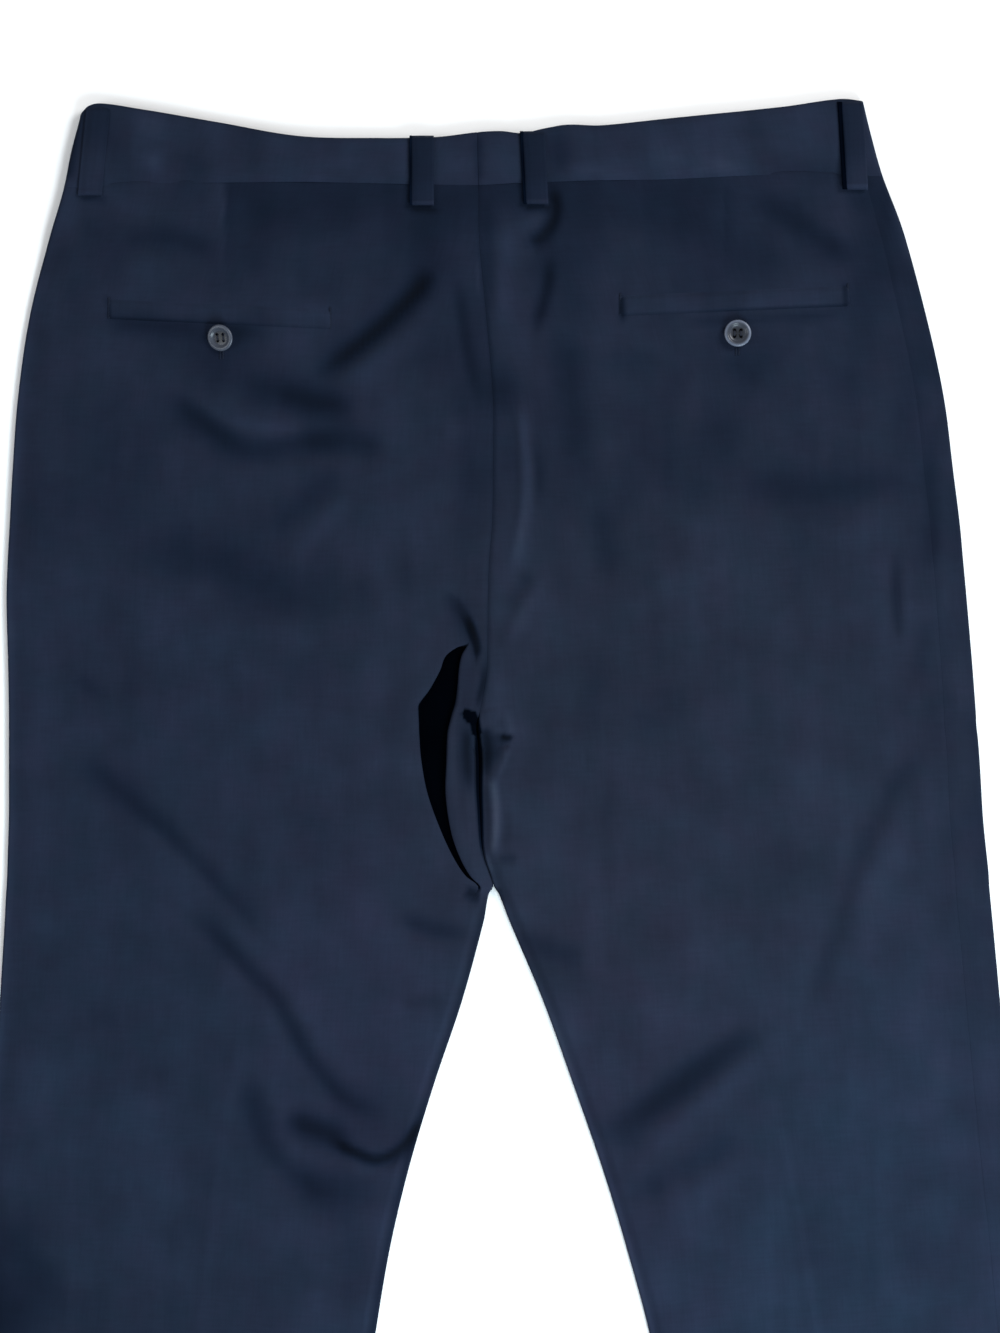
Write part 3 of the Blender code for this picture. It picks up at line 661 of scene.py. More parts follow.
@dataclass
class Ripple:
    """Slight unevenness of cloth that has been handled: the same on every run."""

    seed: int = 11
    cells: tuple[float, ...] = (74.0, 33.0, 15.0)
    heights: tuple[float, ...] = (0.55, 0.34, 0.10)
    slant: float = 0.34
    lattice: int = 96

    def lift(self, x: Array, drop: Array) -> Array:
        """Height of the unevenness.

        Args:
            x: Places across the garment.
            drop: Places down it.

        Returns:
            A height at each place, above and below zero.
        """
        chance = np.random.default_rng(self.seed)
        total = np.zeros(np.broadcast(x, drop).shape)
        for cell, height in zip(self.cells, self.heights):
            knots = chance.uniform(-1.0, 1.0, (self.lattice, self.lattice))
            column = (x + self.slant * drop) / cell + self.lattice / 2
            row = (drop - self.slant * x) / cell + self.lattice / 4
            total += height * read_grid(knots, row, column, wrap=True)
        return total


@dataclass
class Relief:
    """Height of all the folds, and their painted light and shade, worked out once on a fine raster."""

    parts: tuple[Fold | Patch, ...]
    low: tuple[float, float] = (-360.0, -8.0)
    high: tuple[float, float] = (390.0, 1112.0)
    step: float = 0.8

    def __post_init__(self) -> None:
        """Add every fold and patch to the raster."""
        x = np.arange(self.low[0], self.high[0], self.step)
        drop = np.arange(self.low[1], self.high[1], self.step)
        self.height = np.zeros((len(drop), len(x)))
        self.tone = np.zeros_like(self.height)
        for part in self.parts:
            least, most = part.reach()
            columns = slice(*np.searchsorted(x, (least[0], most[0])))
            rows = slice(*np.searchsorted(drop, (least[1], most[1])))
            bell = part.bell(*np.meshgrid(x[columns], drop[rows]))
            self.height[rows, columns] += part.height * bell
            self.tone[rows, columns] += part.shade * bell

    def read(self, raster: Array, x: Array, drop: Array) -> Array:
        """Read a raster between its points.

        Args:
            raster: The height or the tone.
            x: Places across the garment.
            drop: Places down it.

        Returns:
            The value at each place.
        """
        edge = 1.001
        column = np.clip((x - self.low[0]) / self.step, 0, raster.shape[1] - edge)
        row = np.clip((drop - self.low[1]) / self.step, 0, raster.shape[0] - edge)
        return read_grid(raster, row, column)


@dataclass
class Lay:
    """How the trousers lie: the flattened tube that every panel is a stretch of."""

    # where the front left belt loop's middle lies, by which the frame is found
    anchor: tuple[float, float] = (-132.0, 44.0)
    # drops and distances of the cut
    crotch: float = 387.0
    fork: float = 487.0
    hem: float = 1087.0
    hem_tilt: float = 0.16
    seam_line: float = 50.0
    seam_reach: float = 130.0
    band_top: float = 5.0
    front_dip: float = 4.0
    half_waist: float = 230.0
    seam: float = 0.3
    inner_edge: float = 6.5
    left_wrap: float = 15.0
    # how the inner fold takes the cloth under, from the crotch down
    inner_wrap: float = 8.0
    wrap_growth: float = 24.0
    roll_growth: float = 10.0
    least_roll: float = 0.01
    turn_share: float = 0.55
    turn_growth: float = 12.0
    fork_join: float = 8.0
    # walls and levels
    cloth: float = 1.2
    under: float = 0.6
    under_waist: float = 2.1
    fold_radius: float = 1.4
    waist_radius: float = 1.95
    top: float = 5.8
    top_waist: float = 6.4
    lowest: float = 2.3
    # widths over which the top side rises from a fold, and over which its creases do
    roll: float = 15.0
    inner_roll: float = 7.0
    fold_roll: tuple[float, float] = (-2.0, 9.0)
    inner_fold_roll: tuple[float, float] = (-6.0, 5.0)
    leg_growth: float = 20.0
    under_ramp: tuple[float, float] = (66.0, 100.0)
    top_ramp: tuple[float, float] = (75.0, 135.0)
    # sewn lines: depth and width, and how their depth passes into painted shade
    centre_line: tuple[float, float] = (0.55, 1.6)
    centre_growth: tuple[float, float] = (90.0, 150.0)
    side_line: tuple[float, float] = (0.10, 1.4)
    line_tone: float = 0.7
    dart_tone: float = 0.5
    # fall of the seat below the waistband: depth, middle and width
    fall: tuple[float, float, float] = (1.2, 70.0, 14.0)
    # shade below the waistband, past the left dart: how dark, and where it ends
    band_shade: float = 0.82
    band_shade_drop: tuple[float, float] = (56.0, 98.0)
    band_shade_left: tuple[float, float] = (-166.5, -163.5)
    band_shade_right: tuple[float, float] = (128.0, 196.0)
    # shade of the strip beyond the right side seam, and the drops where it ends
    beyond_shade: float = 0.3
    beyond_end: tuple[float, float] = (100.0, 260.0)
    # width of the painted light and shade along the rolled edges
    rim: float = 7.0
    # painted shade of the slit and the knot between the legs
    slit_least: float = 0.05
    slit_core: float = 0.55
    slit_blur: float = 0.4
    knot_depth: float = 0.94
    knot_edge: tuple[float, float] = (0.25, 0.7)
    # a crease's shade lies this far from its hollow, as the light falls
    light_lag: tuple[float, float] = (-2.0, 5.0)
    streak_stretch: float = 0.12
    # painted shade in the ripple's hollows and painted light on its swells
    ripple_tone: float = 0.1
    ripple: Ripple = field(default_factory=Ripple)
    mottle: Ripple = field(default_factory=lambda: Ripple(3, (58.0, 24.0, 11.0), (0.15, 0.17, 0.07)))
    streaks: Ripple = field(default_factory=lambda: Ripple(7, (9.0, 4.5), (0.07, 0.05), slant=0.0))
    folds: Relief = field(default_factory=lambda: Relief(FOLDS + PAINTED_LIGHT_AND_SHADE + PRESSED_CREASES))
    shift: Vector = field(default_factory=lambda: Vector((0, 0, 0)))

    def set_on_frame(self) -> None:
        """Find where the garment's own origin lies in the frame, from a front belt loop."""
        low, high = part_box("loop_front_left")
        middle = (Vector(low) + Vector(high)) / 2
        self.shift = Vector((middle.x - self.anchor[0] * MM, middle.y + self.anchor[1] * MM, 0.0))

    def to_frame(self, x: Array, drop: Array, z: Array) -> Array:
        """Turn places on the garment into points of the frame, in metres."""
        x, drop, z = np.broadcast_arrays(x, drop, z)
        return np.stack([x * MM + self.shift.x, -drop * MM + self.shift.y, z * MM], axis=-1)

    def under_level(self, drop: Array) -> Array:
        """Height of the front panels, which climb over the front loops at the waist."""
        return mix(self.under_waist, self.under, ramp(drop, *self.under_ramp))

    def radius(self, drop: Array) -> Array:
        """Radius of the roll at the folds."""
        return mix(self.waist_radius, self.fold_radius, ramp(drop, *self.top_ramp))

    def inner_radius(self, drop: Array) -> Array:
        """Radius of the roll at the inner folds, which grows from nothing at the crotch."""
        start = ramp(drop, self.crotch, self.crotch + self.roll_growth)
        return self.radius(drop) * np.maximum(start, self.least_roll)

    def outer_tip(self, side: Side, drop: Array) -> Array:
        """X of the cloth's middle at the outer fold."""
        return OUTLINE.read(f"{side.word}_out", drop) - side.value * self.cloth / 2

    def inner_tip(self, side: Side, drop: Array) -> Array:
        """X of the cloth's middle at the inner fold, or of the centre seam above it."""
        edge = OUTLINE.read(f"{side.word}_in", drop)
        return edge + side.value * self.cloth / 2 * ramp(drop, self.crotch - self.roll_growth, self.crotch)

    def centre_x(self, drop: Array) -> Array:
        """X of the middle between the two inner folds."""
        return (self.inner_tip(Side.LEFT, drop) + self.inner_tip(Side.RIGHT, drop)) / 2

    def right_seam_x(self, drop: Array) -> Array:
        """X of the right side seam on the top side."""
        radius = self.radius(drop)
        inset = RIGHT_SIDE_SEAM.read("inset", drop) + radius - math.pi * radius / 2
        return self.outer_tip(Side.RIGHT, drop) - inset

    def dye(self, x: Array, drop: Array, share: float = 1.0) -> Array:
        """Tone of the cloth's own mottling, times a share, and of its streaks."""
        return share * self.mottle.lift(x, drop) + self.streaks.lift(x, drop * self.streak_stretch)

    def creased(self, x: Array, drop: Array) -> tuple[Array, Array]:
        """Folds and sewn lines of the back.

        Args:
            x: Places across the garment.
            drop: Real places down it.

        Returns:
            The height they add, and their tone: painted shade in creases and sewn lines, painted highlight on
                ridges, painted light and shade along the rolled edges, painted shade beyond the right side
                seam and below the waistband, and the cloth's own mottling.
        """
        x, drop = np.broadcast_arrays(np.asarray(x, dtype=float), np.asarray(drop, dtype=float))
        folds = self.folds
        beyond = x - self.right_seam_x(drop)
        depth, width = self.centre_line
        centre = bump(x - self.inner_tip(Side.LEFT, drop), width) * (drop < self.crotch)
        lines = -depth * centre * mix(0.5, 1.0, ramp(drop, *self.centre_growth))
        depth, width = self.side_line
        lines = lines - depth * bump(beyond, width)
        darts = sum(dart.dip(x, drop) for dart in DARTS)
        depth, middle, width = self.fall
        fall = -depth * bump(drop - middle, width) * ramp(drop, self.seam_line, self.seam_line + 10.0)
        ripple = self.ripple.lift(x, drop)
        height = folds.read(folds.height, x - self.light_lag[0], drop - self.light_lag[1])
        height = height + lines + darts + fall + ripple
        tone = folds.read(folds.tone, x, drop) + self.line_tone * lines + self.dart_tone * darts
        tone = tone + self.ripple_tone * ripple + self.dye(x, drop) + self.rims(x, drop)
        tone = tone - self.beyond_shade * ramp(beyond, -2.0, 2.0) * (1 - ramp(drop, *self.beyond_end))
        below_band = (1 - ramp(drop, *self.band_shade_drop)) * (1 - ramp(x, *self.band_shade_right))
        return height, tone - self.band_shade * below_band * ramp(x, *self.band_shade_left)

    def rims(self, x: Array, drop: Array) -> Array:
        """Painted light and shade along the rolled edges, which catch the light unevenly."""
        total = np.zeros(x.shape)
        for rim in RIMS:
            away = rim.inwards * (x - OUTLINE.read(rim.edge, drop))
            near = (1 - ramp(away, 0.0, self.rim)) * (away > -1.0)
            total += rim.tone * near * ramp(drop, *rim.start) * (1 - ramp(drop, *rim.end))
        return total

    def top_level(self, side: Side, x: Array, drop: Array) -> tuple[Array, Array]:
        """Height and tone of the back's middle surface.

        Args:
            side: Half of the garment.
            x: Places across it.
            drop: Places down it.

        Returns:
            The height and the tone at each place.
        """
        radius = self.radius(drop)
        from_outer = np.abs(x - self.outer_tip(side, drop)) - radius
        from_inner = np.abs(x - self.inner_tip(side, drop)) - radius
        leg = ramp(drop, self.crotch, self.crotch + self.leg_growth)
        base_share = ramp(from_outer, 0, self.roll) * mix(1.0, ramp(from_inner, 0, self.inner_roll), leg)
        fold_share = ramp(from_outer, *self.fold_roll)
        fold_share = fold_share * mix(1.0, ramp(from_inner, *self.inner_fold_roll), leg)
        edge = self.under_level(drop) + 2 * radius
        level = mix(edge, mix(self.top_waist, self.top, ramp(drop, *self.top_ramp)), base_share)
        height, tone = self.creased(x, self.slant(side, drop, x))
        level = level + height * fold_share
        lowest = self.lowest + self.under_level(drop) - self.under
        return np.maximum(level, lowest), tone

    def around(self, side: Side, drop: Array, run: Array) -> tuple[Array, Array, Array]:
        """Places on a section of the tube.

        Args:
            side: Half of the garment.
            drop: How far down the section is.
            run: Distance along the cloth from the outer fold: above zero on the top side.

        Returns:
            X, height and tone at each distance.
        """
        sign = side.value
        drop, run = np.broadcast_arrays(drop, run)
        radius = self.radius(drop)
        quarter = math.pi * radius / 2
        tip, inner = self.outer_tip(side, drop), self.inner_tip(side, drop)
        under = self.under_level(drop)
        # top side, read no nearer to the folds than where they start
        x_top = tip - sign * (radius + run - quarter)
        inner_radius = self.inner_radius(drop)
        past = np.where(drop > self.crotch, (inner + sign * inner_radius - x_top) * sign, -1.0)
        from_tip = np.maximum((tip - x_top) * sign, radius)
        x = np.where(past > 0, inner + sign * inner_radius, tip - sign * from_tip)
        top, tone = self.top_level(side, x, drop)
        # outer roll
        angle = np.clip(run / radius, -math.pi / 2, math.pi / 2)
        rolled = run < quarter
        x = np.where(rolled, tip - sign * radius * (1 - np.cos(angle)), x)
        z = np.where(rolled, under + (top - under) * (1 + np.sin(angle)) / 2, top)
        below = run < -quarter
        x = np.where(below, tip - sign * (radius - run - quarter), x)
        # inner roll
        turn = np.clip(past / inner_radius, 0.0, math.pi)
        turned = past > 0
        x = np.where(turned, inner + sign * inner_radius * (1 - np.sin(turn)), x)
        z = np.where(turned, under + (top - under) * (1 + np.cos(turn)) / 2, z)
        behind = past > math.pi * inner_radius
        x = np.where(behind, inner + sign * (inner_radius + past - math.pi * inner_radius), x)
        return x, z, np.where(below | behind, 0.0, tone)

    def between_legs(self, side: Side, x: Array, drop: Array) -> Array:
        """How dark the slit between the legs and the knot above it are painted as shade, from 0 to 1."""
        width = SLIT.read("width", drop)
        away = (x - self.inner_tip(side, drop)) * side.value
        slit = 1 - ramp(away, self.slit_core * width, width + self.slit_blur)
        slit = np.where(width > self.slit_least, slit, 0.0)
        knot = np.max([fold.bell(*np.broadcast_arrays(x, drop)) for fold in KNOT], axis=0)
        return np.maximum(slit * SLIT.read("depth", drop), self.knot_depth * ramp(knot, *self.knot_edge))

    def top_run(self, side: Side, drop: Array) -> Array:
        """Distance from the outer fold to the inner one, or to the centre seam."""
        radius = self.radius(drop)
        width = np.abs(self.inner_tip(side, drop) - self.outer_tip(side, drop))
        return math.pi * radius / 2 + width - radius - self.inner_radius(drop)

    def wrap(self, drop: Array) -> Array:
        """Distance from the start of the inner fold to the inseam under it."""
        turn = math.pi * self.inner_radius(drop)
        down = self.turn_share * ramp(drop, self.crotch, self.crotch + self.turn_growth)
        under = (1 - self.turn_share) * ramp(drop, self.fork - self.fork_join, self.fork)
        beyond = self.inner_wrap - self.radius(drop)
        return turn * (down + under) + beyond * ramp(drop, self.fork, self.fork + self.wrap_growth)

    def run_at(self, side: Side, drop: Array, x: Array) -> Array:
        """Distance from the outer fold to a place on the top side."""
        radius = self.radius(drop)
        return side.value * (self.outer_tip(side, drop) - x) - radius + math.pi * radius / 2

    def slant(self, side: Side, drop: Array, x: Array) -> Array:
        """Real drop of a place, with the slants of the hem and waist lines."""
        centre = (self.outer_tip(side, drop) + self.inner_tip(side, drop)) / 2
        tilt = self.hem_tilt * ramp(drop, self.fork, self.hem)
        waist = WAIST_EDGE.read("seam", x) - self.seam_line
        waist = waist * (1 - ramp(drop, self.seam_line, self.seam_reach))
        return drop - side.value * tilt * (x - centre) + waist

    def dip(self, x: Array) -> Array:
        """How far the waist line lies lower on the front than on the back."""
        tips = [np.abs(x - self.outer_tip(side, np.array(self.seam_line))) for side in Side]
        inwards = np.minimum(*tips) - self.left_wrap
        return self.front_dip * np.maximum(inwards, 0.0) / self.half_waist

    def over(self, side: Side, x: Array, drop: Array, above: Array | float) -> Array:
        """Points over the back, moved out from its middle surface.

        Args:
            side: Half of the garment.
            x: Places across it.
            drop: Places down it.
            above: Distance from the cloth's middle.

        Returns:
            Points of the frame, in metres.
        """
        step = 1.0
        x, drop = np.broadcast_arrays(np.asarray(x, dtype=float), np.asarray(drop, dtype=float))
        level = self.top_level(side, x, drop)[0]
        right = self.top_level(side, x + step, drop)[0]
        lower = self.top_level(side, x, drop + step)[0]
        normal = np.stack([level - right, lower - level, np.full_like(level, step)], axis=-1)
        normal /= np.linalg.norm(normal, axis=-1, keepdims=True)
        points = self.to_frame(x, self.slant(side, drop, x), level)
        return points + normal * np.asarray(above)[..., None] * MM


# ---------------------------------------------------------------------------- finishes

class Nodes:
    """Small helper that adds and links the nodes of one material."""

    def __init__(self, name: str) -> None:
        """Start a material with its Principled shader."""
        self.material = bpy.data.materials.new(name)
        self.material.use_nodes = True
        self.tree = self.material.node_tree
        self.shader = self.tree.nodes["Principled BSDF"]

    def add(self, kind: str, result: str, links: dict[str | int, Socket] | None = None,
            **values: object) -> Socket:
        """Add a node.

        Args:
            kind: What Blender's name of the node's type ends in.
            result: Name of the output that is wanted.
            links: What goes into its sockets, by name or number.
            **values: Settings of the node, or values of its sockets, by name with
                underscores for spaces.

        Returns:
            The output.
        """
        node = self.tree.nodes.new(f"ShaderNode{kind}")
        for name, value in values.items():
            socket = node.inputs.get(name.replace("_", " "))
            if socket is not None and name[0].isupper():
                socket.default_value = value
            else:
                setattr(node, name, value)
        for socket, source in (links or {}).items():
            self.tree.links.new(source, node.inputs[socket])
        return node.outputs[result]

    def arithmetic(self, operation: str, a: Socket, b: Socket) -> Socket:
        """Join two numbers by one step of arithmetic."""
        return self.add("Math", "Value", {0: a, 1: b}, operation=operation)

    def spread(self, value: Socket, start: float, end: float, low: float = 0.0,
               high: float = 1.0) -> Socket:
        """Stretch a number from start and end to low and high, and keep it between them."""
        return self.add("MapRange", "Result", {"Value": value}, From_Min=start, From_Max=end,
                        To_Min=low, To_Max=high)

    def between(self, a: Colour, b: Colour, share: Socket) -> Socket:
        """Return the colour that lies a share of the way from a to b."""
        colour = self.add("Mix", "Result", data_type="RGBA")
        colour.node.inputs["A"].default_value = (*a, 1.0)
        colour.node.inputs["B"].default_value = (*b, 1.0)
        self.tree.links.new(share, colour.node.inputs["Factor"])
        return colour

    def times(self, colour: Socket, other: Socket) -> Socket:
        """Multiply two colours."""
        return self.add("VectorMath", "Vector", {0: colour, 1: other}, operation="MULTIPLY")

    def tinted(self, colour: Socket, tint: Colour, share: Socket) -> Socket:
        """Multiply a colour by a tint, by a share from 0 to 1."""
        return self.times(colour, self.between(WHITE, tint, share))

    def shaded(self, colour: Socket, factor: Socket) -> Socket:
        """Multiply a colour by a number."""
        return self.add("VectorMath", "Vector", {"Vector": colour, "Scale": factor}, operation="SCALE")

    def shade(self) -> Socket:
        """Return the factor that the mesh carries for its colour: its painted light and shade, with the
        cloth's mottling.
        """
        return self.add("Attribute", "Fac", attribute_name="Shade")

    def place(self) -> Socket:
        """Return the place on the object, in metres."""
        return self.add("TexCoord", "Object")

    def finish(self, colour: Socket | None, **values: object) -> Material:
        """Set the shader.

        Args:
            colour: What its base colour comes from, if that isn't uniform.
            **values: Its sockets' values, by name with underscores for spaces.

        Returns:
            The material.
        """
        if colour is not None:
            self.tree.links.new(colour, self.shader.inputs["Base Color"])
        for name, value in values.items():
            self.shader.inputs[name.replace("_", " ")].default_value = value
        return self.material


@dataclass(frozen=True)
class Cast:
    """Broad painted tint of light, which stands for the nap catching the light: its middle and reach in the
    frame, in metres, and its colour.
    """

    middle: tuple[float, float]
    reach: tuple[float, float]
    colour: Colour
    # share of the fall-off past which the cast is full
    full: float = 0.45

    def over(self, nodes: Nodes, colour: Socket) -> Socket:
        """Tint a colour where the cast lies."""
        across, along = self.reach
        ball = nodes.add("Mapping", "Vector", {"Vector": nodes.place()}, Scale=(1 / across, 1 / along, 1.0),
                         Location=(-self.middle[0] / across, -self.middle[1] / along, 0.0))
        fall = nodes.add("TexGradient", "Fac", {"Vector": ball}, gradient_type="QUADRATIC_SPHERE")
        return nodes.tinted(colour, self.colour, nodes.spread(fall, 0.0, self.full))


@dataclass(frozen=True)
class Suiting:
    """Fine worsted suiting: a close twill with a soft, cool sheen.

    The lengths of its weave are in millimetres of the flat cloth, and its ranges are
    those of the noise or shade that they read.
    """

    name: str = "suiting"
    deep: Colour = (0.0098, 0.0144, 0.0292)
    light: Colour = (0.0116, 0.0171, 0.0346)
    roughness: float = 0.8
    specular: float = 0.05
    sheen: float = 0.015
    sheen_roughness: float = 0.45
    sheen_colour: Colour = (0.30, 0.42, 0.70)
    wale: float = 0.75
    wale_slant: float = 63.0
    wale_tone: float = 0.06
    relief: float = 0.03
    warp: tuple[float, float, float] = (0.75, 0.05, 1.0)
    weft: tuple[float, float, float] = (0.06, 0.6, 1.0)
    slub: float = 0.07
    slub_range: tuple[float, float] = (0.7, 1.3)
    cloud_range: tuple[float, float] = (0.3, 0.7)
    cool: Colour = (0.94, 1.03, 1.01)
    warm: Colour = (1.06, 0.98, 1.0)
    hue_range: tuple[float, float] = (0.35, 0.65)
    # bluer tint of the painted shade, and the range of shade over which it fades out
    shadow: Colour = (0.66, 0.98, 1.22)
    shadow_range: tuple[float, float] = (0.2, 0.9)
    # warmer tint of the painted highlight on ridges, and the range over which it sets in
    ridge: Colour = (1.10, 1.03, 0.90)
    highlight_range: tuple[float, float] = (1.15, 1.9)
    # broad painted tints of light, placed in the frame
    painted_light_casts: tuple[Cast, ...] = (
        Cast((0.085, 0.150), (0.36, 0.36), (1.09, 1.02, 0.95)),
        Cast((0.200, -0.165), (0.125, 0.27), (0.95, 1.10, 1.07)),
        Cast((0.068, -0.065), (0.10, 0.28), (1.09, 1.0, 1.01)),
        Cast((-0.102, -0.015), (0.10, 0.24), (1.09, 1.0, 1.03)),
        Cast((-0.245, -0.080), (0.165, 0.30), (0.93, 1.0, 0.99)),
    )

    def material(self) -> Material:
        """Make the material: its painted light and shade come from the cloth, its weave from the cut."""
        nodes = Nodes(self.name)
        cut = nodes.add("UVMap", "UV", uv_map="Cut")
        turned = nodes.add("Mapping", "Vector", {"Vector": cut},
                           Rotation=(0, 0, math.radians(self.wale_slant)))
        wale = nodes.add("TexWave", "Fac", {"Vector": turned}, Scale=math.pi / (10 * self.wale),
                         Distortion=1.5, Detail=1.0)
        yarns = nodes.arithmetic("ADD", self.yarn(nodes, cut, self.warp), self.yarn(nodes, cut, self.weft))
        weave = nodes.arithmetic("ADD", wale, yarns)
        relief = nodes.add("Bump", "Normal", {"Height": weave}, Strength=0.5, Distance=self.relief * MM)
        nodes.tree.links.new(relief, nodes.shader.inputs["Normal"])
        return nodes.finish(
            self.colour(nodes, cut, yarns, wale), Roughness=self.roughness,
            Specular_IOR_Level=self.specular, Sheen_Weight=self.sheen,
            Sheen_Roughness=self.sheen_roughness, Sheen_Tint=(*self.sheen_colour, 1.0))

    def yarn(self, nodes: Nodes, cut: Socket, scale: tuple[float, float, float]) -> Socket:
        """Uneven yarns that run one way of the cloth."""
        stretched = nodes.add("Mapping", "Vector", {"Vector": cut}, Scale=scale)
        return nodes.add("TexNoise", "Fac", {"Vector": stretched}, Scale=1.0, Detail=2.0, Roughness=0.6)

    def colour(self, nodes: Nodes, cut: Socket, yarns: Socket, wale: Socket) -> Socket:
        """Colour the cloth: cloudy dye, slubs and wales, painted shade in the creases, painted highlight on
        the ridges and broad painted tints of light.

        Args:
            nodes: The material's nodes.
            cut: The place on the flat cloth.
            yarns: Unevenness of the yarns.
            wale: Height of the twill's wales.

        Returns:
            The colour.
        """
        cloud = nodes.add("TexNoise", "Fac", {"Vector": cut}, Scale=0.021, Detail=4.0, Roughness=0.65)
        hue = nodes.add("TexNoise", "Fac", {"Vector": cut}, Scale=0.034, Detail=3.0, Roughness=0.6)
        shade = nodes.shade()
        dye = nodes.between(self.deep, self.light, nodes.spread(cloud, *self.cloud_range))
        colour = nodes.times(dye, nodes.between(self.cool, self.warm, nodes.spread(hue, *self.hue_range)))
        # painted shade, tinted bluer where it is deep, and painted highlight, tinted warmer
        depth = nodes.spread(shade, *self.shadow_range)
        colour = nodes.times(colour, nodes.between(self.shadow, WHITE, depth))
        colour = nodes.tinted(colour, self.ridge, nodes.spread(shade, *self.highlight_range))
        # broad painted tints of light
        for cast in self.painted_light_casts:
            colour = cast.over(nodes, colour)
        fleck = nodes.spread(yarns, *self.slub_range, 1 - self.slub, 1 + self.slub)
        ribs = nodes.spread(wale, 0.0, 1.0, 1 - self.wale_tone, 1 + self.wale_tone)
        # slubs and wales, times the painted light and shade
        share = nodes.arithmetic("MULTIPLY", nodes.arithmetic("MULTIPLY", fleck, shade), ribs)
        return nodes.shaded(colour, share)


@dataclass(frozen=True)
class Resin:
    """Polished button resin, mottled a little like horn."""

    name: str
    deep: Colour
    light: Colour
    roughness: float = 0.32
    specular: float = 0.35

    def material(self) -> Material:
        """Make the material."""
        nodes = Nodes(self.name)
        streak = nodes.add("TexNoise", "Fac", {"Vector": nodes.place()}, Scale=260.0, Detail=4.0,
                           Distortion=1.2)
        # the mesh's Shade is the button's painted light and shade
        colour = nodes.shaded(nodes.between(self.deep, self.light, streak), nodes.shade())
        return nodes.finish(colour, Roughness=self.roughness, Specular_IOR_Level=self.specular)


@dataclass(frozen=True)
class Thread:
    """Sewing thread with a twist."""

    name: str
    colour: Colour
    twist: float = 0.6
    roughness: float = 0.7
    specular: float = 0.10

    def material(self) -> Material:
        """Make the material."""
        nodes = Nodes(self.name)
        twist = nodes.add("TexWave", "Fac", {"Vector": nodes.place()}, Scale=1400.0, Distortion=2.0)
        dark = tuple(self.twist * value for value in self.colour)
        colour = nodes.between(dark, self.colour, twist)
        return nodes.finish(colour, Roughness=self.roughness, Specular_IOR_Level=self.specular)


@dataclass
class Wardrobe:
    """The finishes that the pieces share, each made once."""

    cloth: Material = field(default_factory=Suiting().material)
    # copy of the suiting without specular or sheen, painted dark as shadow where the cloth lies in deep shade
    shadow_cloth: Material = field(
        default_factory=Suiting("suiting painted as shadow", specular=0.0, sheen=0.0).material)
    resin: Material = field(
        default_factory=Resin("button resin", (0.054, 0.065, 0.094), (0.102, 0.118, 0.158)).material)
    thread: Material = field(default_factory=Thread("navy thread", (0.012, 0.018, 0.036)).material)
    button_thread: Material = field(default_factory=Thread("button thread", (0.021, 0.024, 0.036)).material)
    tape: Material = field(default_factory=Thread("zip tape", (0.008, 0.010, 0.016)).material)


# ------------------------------------------------------------------------ mesh helpers

def shade_of(tone: Array, recess: Array | float = 0.0) -> Array:
    """Turn tone, the painted light and shade with the cloth's mottling, into the factor that the cloth's
    colour is multiplied by; a recess is painted nearly black as shade.
    """
    return np.clip(2.0 ** tone, *SHADE_LIMITS) * mix(1.0, RECESS_SHADE, recess)


def grid_mesh(name: str, points: Array, cut: Array, shade: Array) -> bpy.types.Mesh:
    """Skin a grid of points with quads.

    Args:
        name: Name of the mesh.
        points: Points by row and column, in metres.
        cut: The same places on the flat cloth, in millimetres.
        shade: Factor of the cloth's colour at each point, with its painted light and shade.

    Returns:
        The mesh, with a `Cut` UV layer and a `Shade` attribute.
    """
    rows, columns = points.shape[:2]
    index = np.arange(rows * columns).reshape(rows, columns)
    quads = np.stack([index[:-1, :-1], index[:-1, 1:], index[1:, 1:], index[1:, :-1]], axis=-1)
    quads = quads.reshape(-1, 4)
    mesh = bpy.data.meshes.new(name)
    mesh.from_pydata(points.reshape(-1, 3).tolist(), [], quads.tolist())
    layer = mesh.uv_layers.new(name="Cut")
    layer.data.foreach_set("uv", cut.reshape(-1, 2)[quads.ravel()].ravel())
    attribute = mesh.attributes.new("Shade", "FLOAT", "POINT")
    attribute.data.foreach_set("value", np.broadcast_to(shade, (rows, columns)).ravel())
    mesh.shade_smooth()
    return mesh


def add_piece(name: str, mesh: bpy.types.Mesh, material: Material) -> Object:
    """Put a mesh in the scene as a piece that rides on the garment.

    Args:
        name: Name of the piece.
        mesh: Its mesh.
        material: Its finish.

    Returns:
        The new object.
    """
    mesh.materials.append(material)
    piece = bpy.data.objects.new(name, mesh)
    bpy.context.scene.collection.objects.link(piece)
    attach(piece, BODY)
    triangles = sum(len(face.vertices) - 2 for face in mesh.polygons)
    LOG.info("%s: %d triangles before its wall", name, triangles)
    return piece


def add_cloth(node: str, points: Array, cut: tuple[Array, Array], shade: Array, material: Material,
              wall: float) -> Object:
    """Cover a solid with a shell of cloth.

    Args:
        node: The solid that it stands for.
        points: Points by row and column, in metres.
        cut: Where the same places lie on the flat cloth, across and along, in millimetres.
        shade: Factor of the cloth's colour at each point, with its painted light and shade.
        material: Its finish.
        wall: Thickness of the shell, in millimetres.

    Returns:
        The piece, with its wall.
    """
    name = f"{node}_cloth"
    flat = np.stack(np.broadcast_arrays(*cut), axis=-1)
    piece = add_piece(name, grid_mesh(name, points, flat, shade), material)
    modifier = piece.modifiers.new("Wall", "SOLIDIFY")
    modifier.thickness = wall * MM
    modifier.offset = 0.0
    modifier.use_even_offset = False
    even_normals(piece)
    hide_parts(node)
    return piece


